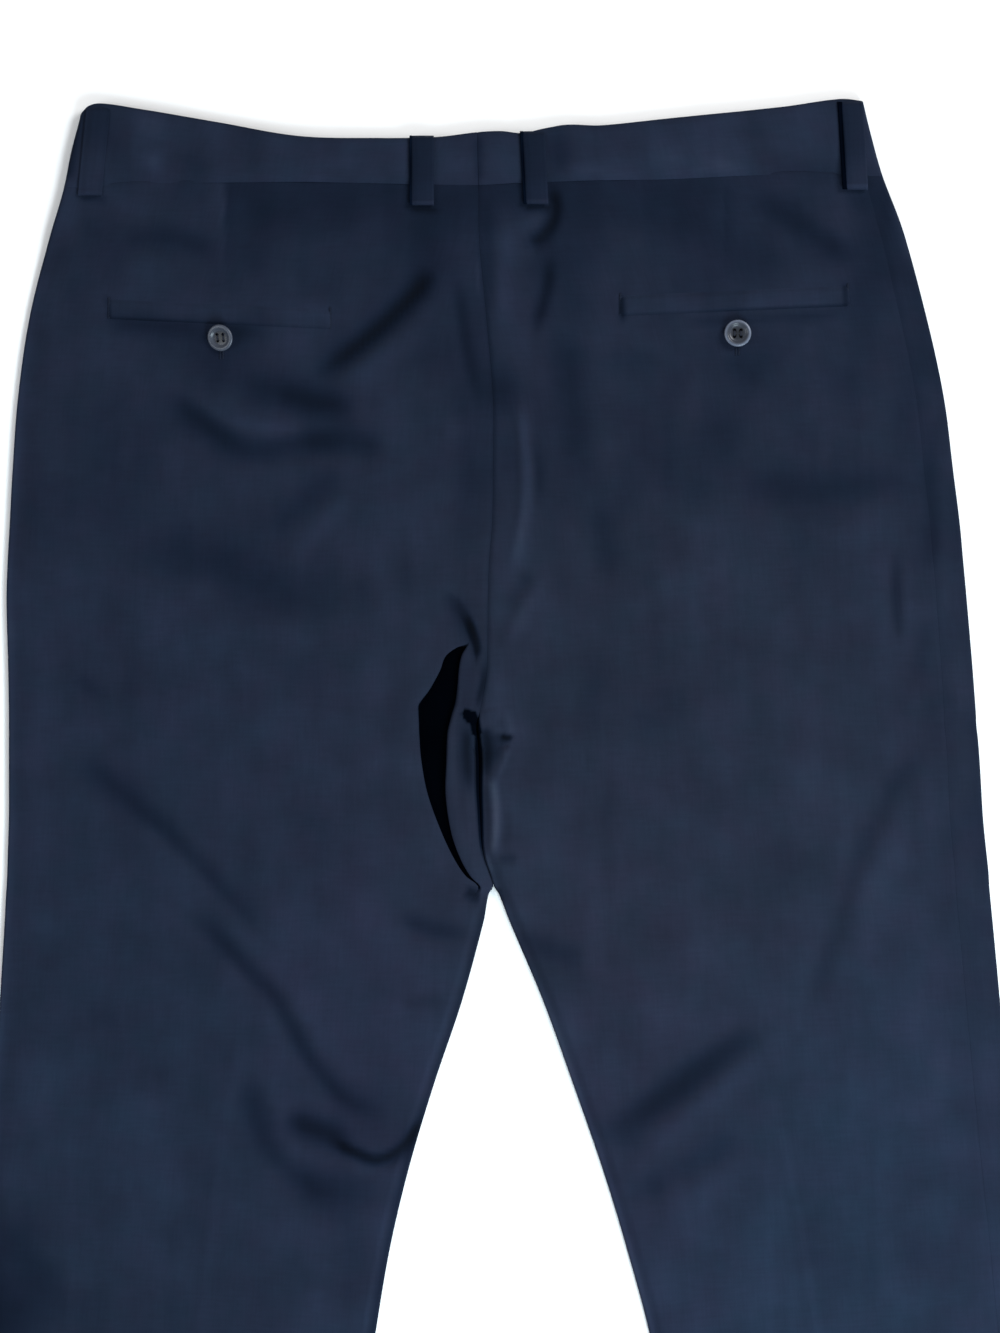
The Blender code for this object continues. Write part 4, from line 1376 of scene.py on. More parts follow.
def paint_shadow_cells(piece: Object, deep: Array, finish: Material) -> None:
    """Give the cells of a grid that lie in painted shade the dark copy of the cloth, as painted shadow."""
    piece.data.materials.append(finish)
    piece.data.polygons.foreach_set("material_index", deep.ravel().astype(np.int32))


def even_normals(piece: Object) -> None:
    """Keep the shading of a shell's broad faces even right up to its thin edges."""
    for modifier in [each for each in piece.modifiers if each.type == "WEIGHTED_NORMAL"]:
        piece.modifiers.remove(modifier)
    even = piece.modifiers.new("Even normals", "WEIGHTED_NORMAL")
    even.mode = "FACE_AREA"
    even.weight = 100


def join_stops(edges: tuple[Array, ...], cells: tuple[int, ...]) -> Array:
    """Columns of a grid, stretch by stretch.

    Args:
        edges: Where each stretch starts, by row, and where the last one ends.
        cells: How many cells each stretch has.

    Returns:
        One stop for each row and column.
    """
    parts = [mix(start[:, None], end[:, None], (np.arange(count) / count)[None, :])
             for start, end, count in zip(edges, edges[1:], cells)]
    return np.concatenate([*parts, edges[-1][:, None]], axis=1)


@dataclass
class Sewing:
    """Short spindles of thread, half sunk into the cloth, gathered into one piece."""

    name: str
    width: float = 0.5
    turns: int = 5
    shoulders: tuple[float, float] = (0.25, 0.75)
    vertices: list[tuple[float, ...]] = field(default_factory=list)
    faces: list[tuple[int, ...]] = field(default_factory=list)

    def stitch(self, start: Array, end: Array) -> None:
        """Add one closed spindle between two points, in metres."""
        axis = (end - start) / np.linalg.norm(end - start)
        across = np.cross(axis, (0.0, 0.0, 1.0))
        across /= np.linalg.norm(across)
        upward = np.cross(across, axis)
        first, turns = len(self.vertices), self.turns
        self.vertices.append(tuple(start))
        for share in self.shoulders:
            middle = mix(start, end, share)
            for turn in range(turns):
                angle = 2 * math.pi * turn / turns
                spoke = across * math.cos(angle) + upward * math.sin(angle)
                self.vertices.append(tuple(middle + spoke * self.width / 2 * MM))
        self.vertices.append(tuple(end))
        for turn in range(turns):
            a, b = first + 1 + turn, first + 1 + (turn + 1) % turns
            self.faces.append((first, b, a))
            self.faces.append((a, b, b + turns, a + turns))
            self.faces.append((a + turns, b + turns, first + 1 + 2 * turns))

    def row(self, points: Array, length: float = 2.2, pitch: float = 3.0) -> None:
        """Add a row of stitches.

        Args:
            points: Points of the row's path, in metres.
            length: Length of a stitch, in millimetres.
            pitch: Distance from one stitch's start to the next.
        """
        steps = np.linalg.norm(np.diff(points, axis=0), axis=1)
        along = np.concatenate([[0.0], np.cumsum(steps)])
        for start in np.arange(0.0, along[-1] - length * MM, pitch * MM):
            self.stitch(*(np.array([np.interp(at, along, points[:, axis]) for axis in range(3)])
                          for at in (start, start + length * MM)))

    def build(self, thread: Material, slot: str = "suiting") -> Object:
        """Make one piece of all the stitches."""
        mesh = bpy.data.meshes.new(self.name)
        mesh.from_pydata(self.vertices, [], self.faces)
        mesh.shade_smooth()
        return add_piece(self.name, mesh, thread)


# --------------------------------------------------------------------------- the panels

@dataclass
class BackPanel:
    """Back of one leg and its half of the seat, from the waistband to the hem."""

    side: Side
    lay: Lay
    width: float = 345.0
    length: float = 1062.0
    area: float = 0.292
    wall: float = 1.0
    tuck: float = 1.2
    # how many rows lie above each of these drops: closest at the crotch
    spacing: tuple[tuple[float, int], ...] = ((330.0, 96), (366.0, 22), (402.0, 34), (492.0, 50), (772.0, 96))
    hem_rows: int = 44
    # cells of each stretch of the columns, and which stretch crosses the deep fold
    left_cells: tuple[int, ...] = (3, 8, 74, 20, 10, 8, 3)
    right_cells: tuple[int, ...] = (96, 24, 10, 3)
    fold_stretch: int = 3
    detail_width: float = 30.0
    # start of the inner fold: its reach below the crotch, and the share of it that turns
    leg_start: float = 18.0
    turn_share: float = 0.75
    seat_margin: float = 1.0
    # deep fold, in shares of its width: where it sinks, where it rises, and how far it
    # runs under its two lips, at most so many millimetres
    fall: tuple[float, float] = (0.0, 0.24)
    rise: tuple[float, float] = (0.78, 1.0)
    undercut: tuple[float, float] = (0.22, 3.5)
    far_pull: tuple[float, float] = (0.2, 0.6)
    near_pull: tuple[float, float] = (0.4, 0.8)
    near_undercut: float = 0.6
    # how the painted shade sets in as the deep fold sinks, and past how much painted shade a cell takes the
    # shadow copy of the cloth
    sunk_shade: tuple[float, float] = (0.05, 0.4)
    dark_from: float = 0.62

    def drops(self) -> Array:
        """Rows of the grid: close together where the folds are, closest at the crotch."""
        lay, rows = self.lay, []
        start = lay.seam_line - self.tuck
        for end, count in (*self.spacing, (lay.hem, self.hem_rows)):
            rows.append(np.linspace(start, end, count, endpoint=False))
            start = end
        return np.unique(np.concatenate([*rows, [lay.crotch, lay.hem]]))

    def stops(self, drops: Array) -> Array:
        """Columns of the grid.

        Args:
            drops: The grid's rows.

        Returns:
            The distance of each column from the outer fold.
        """
        lay, side = self.lay, self.side
        radius = lay.radius(drops)
        quarter = math.pi * radius / 2
        end, wrap = lay.top_run(side, drops), lay.wrap(drops)
        leg = ramp(drops, lay.crotch, lay.crotch + self.leg_start)
        inner_start = end - lay.inner_edge * (1 - leg)
        turn = np.minimum(math.pi * radius, wrap * self.turn_share)
        inner = (inner_start, mix(end - self.seat_margin, end + turn, leg), end + wrap)
        if side is Side.LEFT:
            far, near = (lay.run_at(side, drops, DEEP_FOLD.read(lip, drops)) for lip in ("far", "near"))
            start = np.full_like(drops, -lay.left_wrap)
            return join_stops((start, -quarter, quarter, far, near, *inner), self.left_cells)
        seam = RIGHT_SIDE_SEAM.read("inset", drops)
        return join_stops((seam, inner_start - self.detail_width, *inner), self.right_cells)

    def build(self, wardrobe: Wardrobe) -> Object:
        """Build the panel over its solid.

        Args:
            wardrobe: The finishes.

        Returns:
            The panel.
        """
        lay, side = self.lay, self.side
        drops = self.drops()
        runs, rows = self.stops(drops), drops[:, None]
        x, z, tone = lay.around(side, rows, runs)
        # painted shade in the slit between the legs, in the knot and deep in the fold
        recess = lay.between_legs(side, x, rows)
        if side is Side.LEFT:
            x, z, sunk = self.open_deep_fold(x, z, rows)
            recess = np.maximum(recess, sunk)
        points = lay.to_frame(x, lay.slant(side, rows, x), z)
        piece = add_cloth(f"back_{side.word}", points, (side.value * -runs, rows), shade_of(tone, recess),
                          wardrobe.cloth, self.wall)
        # cells deep in painted shade take the shadow copy of the cloth
        paint_shadow_cells(piece, np.minimum(recess[:-1, :-1], recess[1:, 1:]) > self.dark_from, wardrobe.shadow_cloth)
        return piece

    def open_deep_fold(self, x: Array, z: Array, rows: Array) -> tuple[Array, Array, Array]:
        """Sink the cloth between the two lips of the deep fold, under both of them.

        Args:
            x: X of the grid.
            z: Height of the grid.
            rows: Its rows.

        Returns:
            New x, new height, and the painted shade deep in the fold at each point, from 0 to 1.
        """
        first, cells = sum(self.left_cells[:self.fold_stretch]), self.left_cells[self.fold_stretch]
        across = np.full(x.shape[1], -1.0)
        across[first:first + cells + 1] = np.linspace(0, 1, cells + 1)
        inside = (across >= 0)[None, :]
        q = np.clip(across, 0.0, 1.0)[None, :]
        opening = DEEP_FOLD.read("opening", rows).clip(0.0, 1.0)
        width = DEEP_FOLD.read("near", rows) - DEEP_FOLD.read("far", rows)
        sunk = ramp(q, *self.fall) * (1 - ramp(q, *self.rise)) * opening * inside
        share, most = self.undercut
        pull = np.minimum(width * share, most) * sunk
        x = x - pull * (1 - ramp(q, *self.far_pull)) + self.near_undercut * pull * ramp(q, *self.near_pull)
        return x, mix(z, self.lay.lowest, sunk), ramp(sunk, *self.sunk_shade)


@dataclass
class FrontPanel:
    """Front of one leg, under the back: the right one rolls round the fold onto the top."""

    side: Side
    lay: Lay
    width: float = 325.0
    length: float = 1058.0
    area: float = 0.262
    wall: float = 1.0
    # rows above and below the drop where their spacing changes, and cells of the columns
    top_tuck: float = 0.5
    leg_line: float = 520.0
    row_count: int = 200
    leg_rows: int = 90
    level_cells: int = 66
    seam_cells: int = 16
    fold_cells: int = 10
    # the right side seam: how far the front lies under the back there
    tuck: float = 0.6
    tuck_step: float = 0.08
    step_width: float = 4.0
    # strip painted dark as shade under the slit between the legs: its half width, how far it runs
    # past the crotch and the fork, how dark it is painted, and where the inner seam leaves it, from the fork
    slit_reach: float = 4.5
    slit_ends: tuple[float, float] = (-8.0, 1.0)
    slit_recess: float = 0.93
    inner_join: tuple[float, float] = (-8.0, -1.0)
    dip_end: float = 100.0
    # pressed crease: its x at both ends of a span of drops, where it starts, its width,
    # and its height and painted highlight
    crease_x: tuple[tuple[float, float], tuple[float, float]] = ((-128.0, -206.0), (118.0, 232.0))
    crease_span: tuple[float, float] = (90.0, 1087.0)
    crease_start: tuple[float, float] = (70.0, 160.0)
    crease_width: float = 2.2
    crease_look: tuple[float, float] = (0.25, 0.3)
    # slant pocket mouth: its distance from the outer fold at both ends, and the same
    mouth_inset: tuple[float, float] = (46.0, 16.0)
    mouth_span: tuple[float, float] = (52.0, 225.0)
    mouth_end: tuple[float, float] = (222.0, 230.0)
    mouth_width: float = 1.6
    # height of the mouth, and its painted shade
    mouth_look: tuple[float, float] = (0.5, -0.9)

    def inner_x(self, drops: Array) -> Array:
        """X of the inner seam on the underside."""
        lay, sign = self.lay, self.side.value
        radius = lay.radius(drops)
        wrap = np.maximum(lay.wrap(drops) - math.pi * radius, 0.0)
        leg = lay.inner_tip(self.side, drops) + sign * (radius + wrap + lay.seam)
        return mix(lay.centre_x(drops), leg, ramp(drops - lay.fork, *self.inner_join))

    def stops(self, drops: Array) -> Array:
        """Columns of the grid, as distances from the outer fold."""
        lay = self.lay
        radius = lay.radius(drops)
        quarter = math.pi * radius / 2
        inner = -(np.abs(lay.outer_tip(self.side, drops) - self.inner_x(drops)) - radius + quarter)
        if self.side is Side.LEFT:
            return join_stops((np.full_like(drops, -lay.left_wrap), inner), (self.level_cells,))
        seam = RIGHT_SIDE_SEAM.read("inset", drops) + self.tuck
        return join_stops((seam, quarter, -quarter, inner),
                          (self.seam_cells, self.fold_cells, self.level_cells))

    def relief(self, x: Array, drop: Array) -> tuple[Array, Array]:
        """Pressed crease and slant pocket mouth of the front.

        Args:
            x: Places across the garment.
            drop: Places down it.

        Returns:
            How far each place is raised off the surface, and its painted light and shade.
        """
        ends = self.crease_x[0 if self.side is Side.LEFT else 1]
        crease_x = mix(*ends, ramp(drop, *self.crease_span))
        crease = bump(x - crease_x, self.crease_width) * ramp(drop, *self.crease_start)
        inset = mix(*self.mouth_inset, ramp(drop, *self.mouth_span))
        mouth_x = self.lay.outer_tip(self.side, drop) - self.side.value * inset
        mouth = bump(x - mouth_x, self.mouth_width) * (1 - ramp(drop, *self.mouth_end))
        lift, tone = (mouth * of_mouth + crease * of_crease
                      for of_mouth, of_crease in zip(self.mouth_look, self.crease_look))
        return lift, tone

    def build(self, wardrobe: Wardrobe) -> Object:
        """Build the panel over its solid.

        Args:
            wardrobe: The finishes.

        Returns:
            The panel.
        """
        lay, side = self.lay, self.side
        seat = np.linspace(lay.seam_line - self.top_tuck, self.leg_line, self.row_count)
        leg = np.linspace(self.leg_line, lay.hem, self.leg_rows)
        drops = np.unique(np.concatenate([seat, leg, [lay.crotch]]))
        runs, rows = self.stops(drops), drops[:, None]
        x, z, tone = lay.around(side, rows, runs)
        beneath = runs < -math.pi * lay.radius(rows) / 2
        lift, line_tone = self.relief(x, np.broadcast_to(rows, x.shape))
        seam = RIGHT_SIDE_SEAM.read("inset", rows)
        z = z + np.where(beneath, lift, 0.0) - self.tuck_step * ramp(runs, seam - self.step_width, seam)
        tone = np.where(beneath, line_tone, tone)
        # strip under the slit, painted dark as shade
        start, end = lay.crotch + self.slit_ends[0], lay.fork + self.slit_ends[1]
        slit = (np.abs(x - lay.centre_x(rows)) < self.slit_reach) & (rows > start) & (rows < end)
        dip = np.where(beneath, lay.dip(x), 0.0) * (1 - ramp(rows, lay.seam_line, self.dip_end))
        points = lay.to_frame(x, lay.slant(side, rows, x) + dip, z)
        piece = add_cloth(f"front_{side.word}", points, (side.value * -runs, rows),
                          shade_of(tone, self.slit_recess * slit), wardrobe.cloth, self.wall)
        paint_shadow_cells(piece, slit[:-1, :-1], wardrobe.shadow_cloth)
        return piece


@dataclass
class Waistband:
    """Half of the waistband: a doubled strip, stiffer and prouder than the panels."""

    side: Side
    lay: Lay
    height: float = 46.0
    lap: float = 45.0
    lap_clear: float = 4.0
    lap_rise: float = 24.0
    wall: float = 1.5
    cells: int = 160
    fold_cells: int = 10
    rows: int = 22
    cover: float = 0.7
    # how proud the band stands on the top side; towards the side folds it lies plain
    proud: float = 1.3
    settle: float = 0.35
    top_start: tuple[float, float] = (0.0, 18.0)
    plain_left: tuple[float, float] = (-200.0, -160.0)
    plain_right: tuple[float, float] = (150.0, 190.0)
    # shares of its height: where its upper edge is round, and where it falls to the seam
    # and how far, in its middle and where it is plain
    round_end: float = 0.1
    fall_start: tuple[float, float] = (0.88, 0.7)
    fall_depth: tuple[float, float] = (0.88, 1.0)
    crease_end: float = 0.15
    settle_start: float = 0.86
    # creases and pucker; the band's overall painted light, painted light and shade of the pucker, the cloth's
    # mottling, painted shade along the centre seam and the upper edge, and the folds' painted light and shade
    # past the fold
    crease_share: float = 0.5
    pucker: Ripple = field(default_factory=lambda: Ripple(5, (21.0, 12.0), (0.7, 0.35)))
    pucker_height: float = 0.55
    pucker_stretch: float = 0.4
    pucker_tone: float = 0.4
    tone: float = 0.08
    dye_share: float = 0.8
    centre_tone: float = 0.2
    centre_width: float = 1.6
    edge_tone: float = 0.5
    edge_end: float = 0.05
    fold_start: tuple[float, float] = (-1.0, 2.5)
    soft_edge: float = 0.45
    soft_angle: float = 60.0

    def stops(self, drops: Array) -> Array:
        """Columns from the centre-back seam round the fold to the front."""
        lay = self.lay
        radius = lay.radius(drops)
        quarter = math.pi * radius / 2
        lap = self.lap if self.side is Side.LEFT else 0.0
        half = np.abs(lay.outer_tip(self.side, drops) - lay.inner_tip(self.side, drops))
        edges = (lay.top_run(self.side, drops), quarter, -quarter, -(half - radius + quarter + lap))
        return join_stops(edges, (self.cells, self.fold_cells, self.cells))

    def build(self, cloth: Material) -> Object:
        """Build the half over its solid.

        Args:
            cloth: The finish.

        Returns:
            The half of the waistband.
        """
        lay = self.lay
        share = np.linspace(0.0, 1.0, self.rows + 1)
        drops = mix(lay.band_top, lay.seam_line, share)
        runs, column = self.stops(drops), share[:, None]
        x, z, _ = lay.around(self.side, drops[:, None], runs)
        dip = np.where(z < lay.under_waist + lay.waist_radius, lay.dip(x), 0.0)
        drop = mix(WAIST_EDGE.read("top", x), WAIST_EDGE.read("seam", x) + self.cover, column) + dip
        centre = np.abs(x - lay.inner_tip(self.side, np.array(lay.seam_line)))
        on_top = ramp(runs, *self.top_start)
        plain = np.maximum(1 - ramp(x, *self.plain_left), ramp(x, *self.plain_right))
        fall = mix(*self.fall_depth, plain) * ramp(column, mix(*self.fall_start, plain), 1.0)
        rounded = ramp(column, 0.0, self.round_end) * (1 - fall)
        wave = self.pucker_height * self.pucker.lift(x, self.pucker_stretch * drop)
        creases = wave + self.crease_share * lay.folds.read(lay.folds.height, x, drop)
        z = z + on_top * (self.proud * rounded + creases * ramp(column, 0.0, self.crease_end))
        z = z - self.settle * on_top * plain * ramp(column, self.settle_start, 1.0)
        if self.side is Side.RIGHT:
            tucked = (1 - ramp(centre - self.lap - self.lap_clear, 0, self.lap_rise)) * (runs < 0)
            z = z + (self.wall + lay.seam) * tucked
        # painted shade along the centre seam and at the upper edge, painted light and shade of the pucker and
        # the folds, and the cloth's mottling
        tone = self.tone - self.centre_tone * bump(centre, self.centre_width) * on_top
        tone = tone - self.edge_tone * (1 - ramp(column, 0.0, self.edge_end))
        tone = tone + self.pucker_tone * wave + lay.dye(x, drop, self.dye_share)
        tone = tone + ramp(runs, *self.fold_start) * lay.folds.read(lay.folds.tone, x, drop)
        piece = add_cloth(f"waistband_{self.side.word}", lay.to_frame(x, drop, z), (runs, drops[:, None]),
                          shade_of(tone), cloth, self.wall)
        soften = piece.modifiers.new("Soft edge", "BEVEL")
        soften.width = self.soft_edge * MM
        soften.segments = 2
        soften.limit_method = "ANGLE"
        soften.angle_limit = math.radians(self.soft_angle)
        even_normals(piece)
        return piece


@dataclass
class BeltLoop:
    """Belt loop: a narrow strip with turned edges, sewn at both ends."""

    name: str
    x: float
    drop: float
    length: float
    lean: float
    lay: Lay
    width: float = 13.0
    wall: float = 1.1
    overhang: float = 0.6
    rows: int = 45
    columns: int = 19
    # how it stands: its arch, the band under it, and the fall over the waist's edge
    stand: float = 2.0
    arch_power: float = 0.6
    band_stand: float = 1.3
    band_end: tuple[float, float] = (50.0, 60.0)
    over_depth: float = 3.2
    over_length: float = 2.6
    # edges and stitched grooves, in shares of its width, and the painted shade in the grooves
    edge_drop: float = 0.5
    edge_share: float = 0.09
    groove: float = 0.22
    groove_place: float = 0.36
    groove_width: float = 0.045
    groove_tone: float = 0.55
    # lower end, turned in, in shares of its length
    turn_height: float = 0.55
    turn_start: tuple[float, float] = (0.93, 0.96)
    turn_fall: float = 0.8
    turn_end: tuple[float, float] = (0.985, 1.0)
    # darker than the band overall, with painted light along part of the loop, painted light and shade across
    # it, and painted light on its turned lower end
    tone: float = -0.85
    lit: float = 0.25
    lit_span: tuple[float, float] = (0.5, 0.93)
    lean_tone: float = 0.2
    hem_lit: float = 0.45
    # side face, painted dark as the loop's shadow with the shadow copy of the cloth
    flank: float = 0.0
    flank_tone: float = -1.5
    flank_cells: int = 4
    flank_gap: float = 0.03
    flank_level: float = 1.35
    # loop under the front of the waistband
    under_grid: tuple[int, int] = (31, 13)
    under_level: float = 0.5
    under_groove: float = 0.14
    under_tone: float = -0.3
    under_wall: float = 0.8

    def build(self, wardrobe: Wardrobe) -> Object:
        """Build a loop that stands on the back of the waistband.

        Args:
            wardrobe: The finishes.

        Returns:
            The loop.
        """
        lay = self.lay
        side = Side.LEFT if self.x < CENTRE_SEAM_X else Side.RIGHT
        share = np.linspace(0.0, 1.0, self.rows)[:, None]
        columns = np.linspace(-0.5, 0.5, self.columns)
        if self.flank:
            beside = np.linspace(-0.5 - self.flank / self.width, -0.5 - self.flank_gap, self.flank_cells)
            columns = np.concatenate([beside, columns])
        across = columns[None, :]
        along = share * (self.length + self.overhang)
        drop = self.drop - self.length / 2 - self.overhang + along
        x = self.x + across * self.width + self.lean * (drop - self.drop)
        base = np.maximum(lay.top_level(side, x, np.maximum(drop, lay.seam_line))[0],
                          lay.top_waist + self.band_stand * (1 - ramp(drop, *self.band_end)))
        arch = self.stand * np.sin(np.pi * share) ** self.arch_power
        edge = self.edge_drop * (1 - ramp(0.5 - np.abs(across), 0.0, self.edge_share))
        groove = self.groove * self.grooves(across)
        over_top = self.over_depth * (1 - ramp(along, 0.0, self.over_length)) ** 2
        turn = ramp(share, *self.turn_start)
        turned = self.turn_height * turn * (1 - self.turn_fall * ramp(share, *self.turn_end))
        z = base + self.wall + arch - edge - groove - over_top + turned
        # painted light along the loop and on its turned end, painted shade in its grooves, painted light and
        # shade across it
        tone = self.tone + self.lit * ramp(share, *self.lit_span) + self.hem_lit * turn
        tone = tone - self.groove_tone * groove + self.lean_tone * across
        # the side face is painted as the loop's shadow
        shadowed = np.broadcast_to(across < -0.5, z.shape)
        z = np.where(shadowed, base + self.flank_level - over_top, z)
        tone = np.where(shadowed, self.flank_tone, tone)
        piece = self.sew_on(lay.to_frame(x, drop, z), across, share, tone, wardrobe.cloth, self.wall)
        paint_shadow_cells(piece, shadowed[:-1, :-1], wardrobe.shadow_cloth)
        return piece

    def build_under(self, cloth: Material) -> Object:
        """Build a loop that lies flat between the front of the waistband and the surface.

        Args:
            cloth: The finish.

        Returns:
            The loop.
        """
        rows, columns = self.under_grid
        share = np.linspace(0.0, 1.0, rows)[:, None]
        across = np.linspace(-0.5, 0.5, columns)[None, :]
        groove = self.grooves(across)
        points = self.lay.to_frame(self.x + across * self.width, self.drop + (share - 0.5) * self.length,
                                   self.under_level + self.under_groove * groove)
        # painted shade, deeper in the grooves
        tone = self.under_tone * (1 + groove)
        return self.sew_on(points, across, share, tone, cloth, self.under_wall)

    def grooves(self, across: Array) -> Array:
        """Depth of the two stitched grooves, from 0 to 1."""
        return bump(np.abs(across) - self.groove_place, self.groove_width)

    def sew_on(self, points: Array, across: Array, share: Array, tone: Array, cloth: Material,
               wall: float) -> Object:
        """Make the piece, with its cut on the flat cloth, and give it its wall.

        Args:
            points: Points by row and column, in metres.
            across: Place across the loop, in shares of its width.
            share: Place along it, in shares of its length.
            tone: Tone of each point.
            cloth: The finish.
            wall: Thickness of its wall.

        Returns:
            The loop.
        """
        cut = (across * self.width, share * self.length)
        piece = add_cloth(self.name, points, cut, shade_of(tone), cloth, wall)
        return piece


# section of a button, from its dished middle over the rim and round the back, in shares
# of its radius and height
BUTTON_PROFILE = (
    (0.0, 0.50), (0.42, 0.50), (0.55, 0.54), (0.64, 0.68), (0.70, 0.88), (0.76, 0.98),
    (0.84, 1.00), (0.92, 0.96), (0.98, 0.84), (1.0, 0.66), (0.985, 0.48), (0.93, 0.32),
    (0.80, 0.14), (0.60, 0.02), (0.0, 0.0),
)


@dataclass
class BackPocket:
    """Welt pocket of the seat: its welt, bar tacks, buttonhole and button."""

    side: Side
    lay: Lay
    start: tuple[float, float]
    end: tuple[float, float]
    button: tuple[float, float]
    # welt: rows and columns, its height, and how it rises, in shares of its sides
    grid: tuple[int, int] = (21, 151)
    height: float = 14.0
    cut_length: float = 144.0
    level: float = 0.75
    proud: float = 0.9
    wall: float = 0.9
    sunk: float = -0.2
    swell: float = 0.75
    rise: float = 0.35
    fall: tuple[float, float] = (0.88, 1.0)
    end_share: float = 0.024
    # painted light on the welt, painted shadow along its lower lip and how it changes along it, and painted
    # light and shade of its pucker
    welt_tone: float = 0.14
    lip: tuple[float, float] = (0.80, 0.96)
    lip_painted_shadow: tuple[float, float] = (-0.15, -0.7)
    lip_change: tuple[float, float] = (0.25, 0.65)
    pucker: Ripple = field(default_factory=lambda: Ripple(8, (19.0, 9.0), (0.5, 0.3)))
    pucker_tone: float = 0.3
    # bar tacks: where they lie along the welt, half a stitch, pitch and height
    tack_shares: tuple[float, float] = (0.012, 0.988)
    tack_inset: float = 0.5
    tack_half: float = 0.9
    tack_pitch: float = 0.55
    tack_lift: float = 0.7
    # buttonhole: length, how far its stitches reach from the slit, and the same
    hole_length: float = 17.0
    hole_drop: float = 5.0
    hole_reach: tuple[float, float] = (0.25, 1.5)
    hole_pitch: float = 0.5
    hole_lift: float = 0.75
    # button
    button_tilt: tuple[float, float] = (0.0, 0.0)
    button_radius: float = 8.3
    button_height: float = 2.9
    button_lift: float = 0.9
    button_steps: int = 72
    # painted light and shade of the button by its radius: its dish, slope and rim, and where the slope and
    # rim lie
    button_painted_light: tuple[float, float, float] = (0.16, 0.24, 0.95)
    slope: tuple[float, float] = (0.34, 0.62)
    rim: tuple[float, float] = (0.80, 0.88)
    sharp: float = 50.0
    # thread holes: radius, sides, and distance from the middle in shares of the radius
    drill_radius: float = 0.95
    drill_sides: int = 16
    drill_place: float = 0.235
    # thread over the holes
    thread_width: float = 0.6
    thread_level: float = 0.56
    thread_slips: tuple[float, ...] = (-0.32, 0.0, 0.32)

    def build(self, wardrobe: Wardrobe) -> list[Object]:
        """Build the whole pocket.

        Args:
            wardrobe: The finishes.

        Returns:
            Its pieces.
        """
        return [
            self.build_welt(wardrobe.cloth),
            self.build_tacks(wardrobe.thread),
            self.build_buttonhole(wardrobe.thread),
            self.build_button(wardrobe.resin),
            self.build_button_thread(wardrobe.button_thread),
        ]

    def place(self, share: Array, down: Array) -> tuple[Array, Array]:
        """Place on the pocket.

        Args:
            share: How far along the welt, from 0 to 1.
            down: Distance below its middle line.

        Returns:
            X and drop on the garment.
        """
        return mix(self.start[0], self.end[0], share), mix(self.start[1], self.end[1], share) + down

    def build_welt(self, cloth: Material) -> Object:
        """Welt, a turned strip with a proud lower lip over the pocket's mouth."""
        rows, columns = self.grid
        share = np.linspace(0.0, 1.0, columns)[None, :]
        across = np.linspace(0.0, 1.0, rows)[:, None]
        x, drop = self.place(share, (across - 0.5) * self.height)
        ends = ramp(share, 0.0, self.end_share) * (1 - ramp(share, 1 - self.end_share, 1.0))
        body = self.level + self.proud * ramp(across, 0.0, self.swell)
        rise = ends * ramp(across, 0.0, self.rise) * (1 - ramp(across, *self.fall))
        points = self.lay.over(self.side, x, drop, mix(self.sunk, body, rise))
        # painted shadow along the lower lip, painted light on the welt and its pucker, and the folds' painted
        # light and shade
        lip = mix(*self.lip_painted_shadow, ramp(share, *self.lip_change)) * ramp(across, *self.lip)
        tone = self.welt_tone * ends + lip + self.pucker_tone * self.pucker.lift(x, drop)
        tone = tone + self.lay.creased(x, drop)[1]
        cut = (share * self.cut_length, across * self.height)
        piece = add_cloth(f"welt_{self.side.word}", points, cut, shade_of(tone), cloth, self.wall)
        return piece

    def build_tacks(self, thread: Material) -> Object:
        """Bar tacks: close stitches across the welt at both of its ends."""
        tacks = Sewing(f"tacks_{self.side.word}")
        half = self.height / 2 - self.tack_inset
        steps = np.array((-self.tack_half, self.tack_half))
        for share in self.tack_shares:
            for down in np.arange(-half, half, self.tack_pitch):
                x, drop = self.place(np.array(share), np.array(down))
                tacks.stitch(*self.lay.over(self.side, x + steps, drop, self.tack_lift))
        return tacks.build(thread)

    def build_buttonhole(self, thread: Material) -> Object:
        """Upright buttonhole: close stitches round a slit, below the welt."""
        hole = Sewing(f"buttonhole_{self.side.word}")
        half = self.hole_length / 2
        for down in np.arange(-half, half, self.hole_pitch):
            for sign in (-1, 1):
                x = self.button[0] + sign * np.array(self.hole_reach)
                drop = self.button[1] + self.hole_drop + down
                hole.stitch(*self.lay.over(self.side, x, drop, self.hole_lift))
        return hole.build(thread)

    def seat(self) -> tuple[Vector, Euler]:
        """Place and tilt of the button: on the cloth over the buttonhole."""
        centre = Vector(self.lay.over(self.side, *self.button, self.lay.cloth / 2 + self.button_lift))
        tilt = Euler((math.radians(self.button_tilt[0]), math.radians(self.button_tilt[1]), 0.0))
        return centre, tilt

    def build_button(self, resin: Material) -> Object:
        """Four-hole button, turned with a raised rim and a dished middle."""
        radius, height, steps = self.button_radius * MM, self.button_height * MM, self.button_steps
        form = bmesh.new()
        rings = []
        for share, level in BUTTON_PROFILE:
            angles = [2 * math.pi * step / steps for step in range(steps if share else 1)]
            rings.append([form.verts.new((share * radius * math.cos(angle), share * radius * math.sin(angle),
                                          level * height)) for angle in angles])
        for upper, lower in zip(rings, rings[1:]):
            for step in range(steps):
                following = (step + 1) % steps
                corners = [upper[step % len(upper)], lower[step % len(lower)],
                           lower[following % len(lower)], upper[following % len(upper)]]
                form.faces.new(list(dict.fromkeys(corners)))
        name = f"button_{self.side.word}"
        mesh = bpy.data.meshes.new(f"{name}_resin")
        form.to_mesh(mesh)
        form.free()
        mesh.shade_smooth()
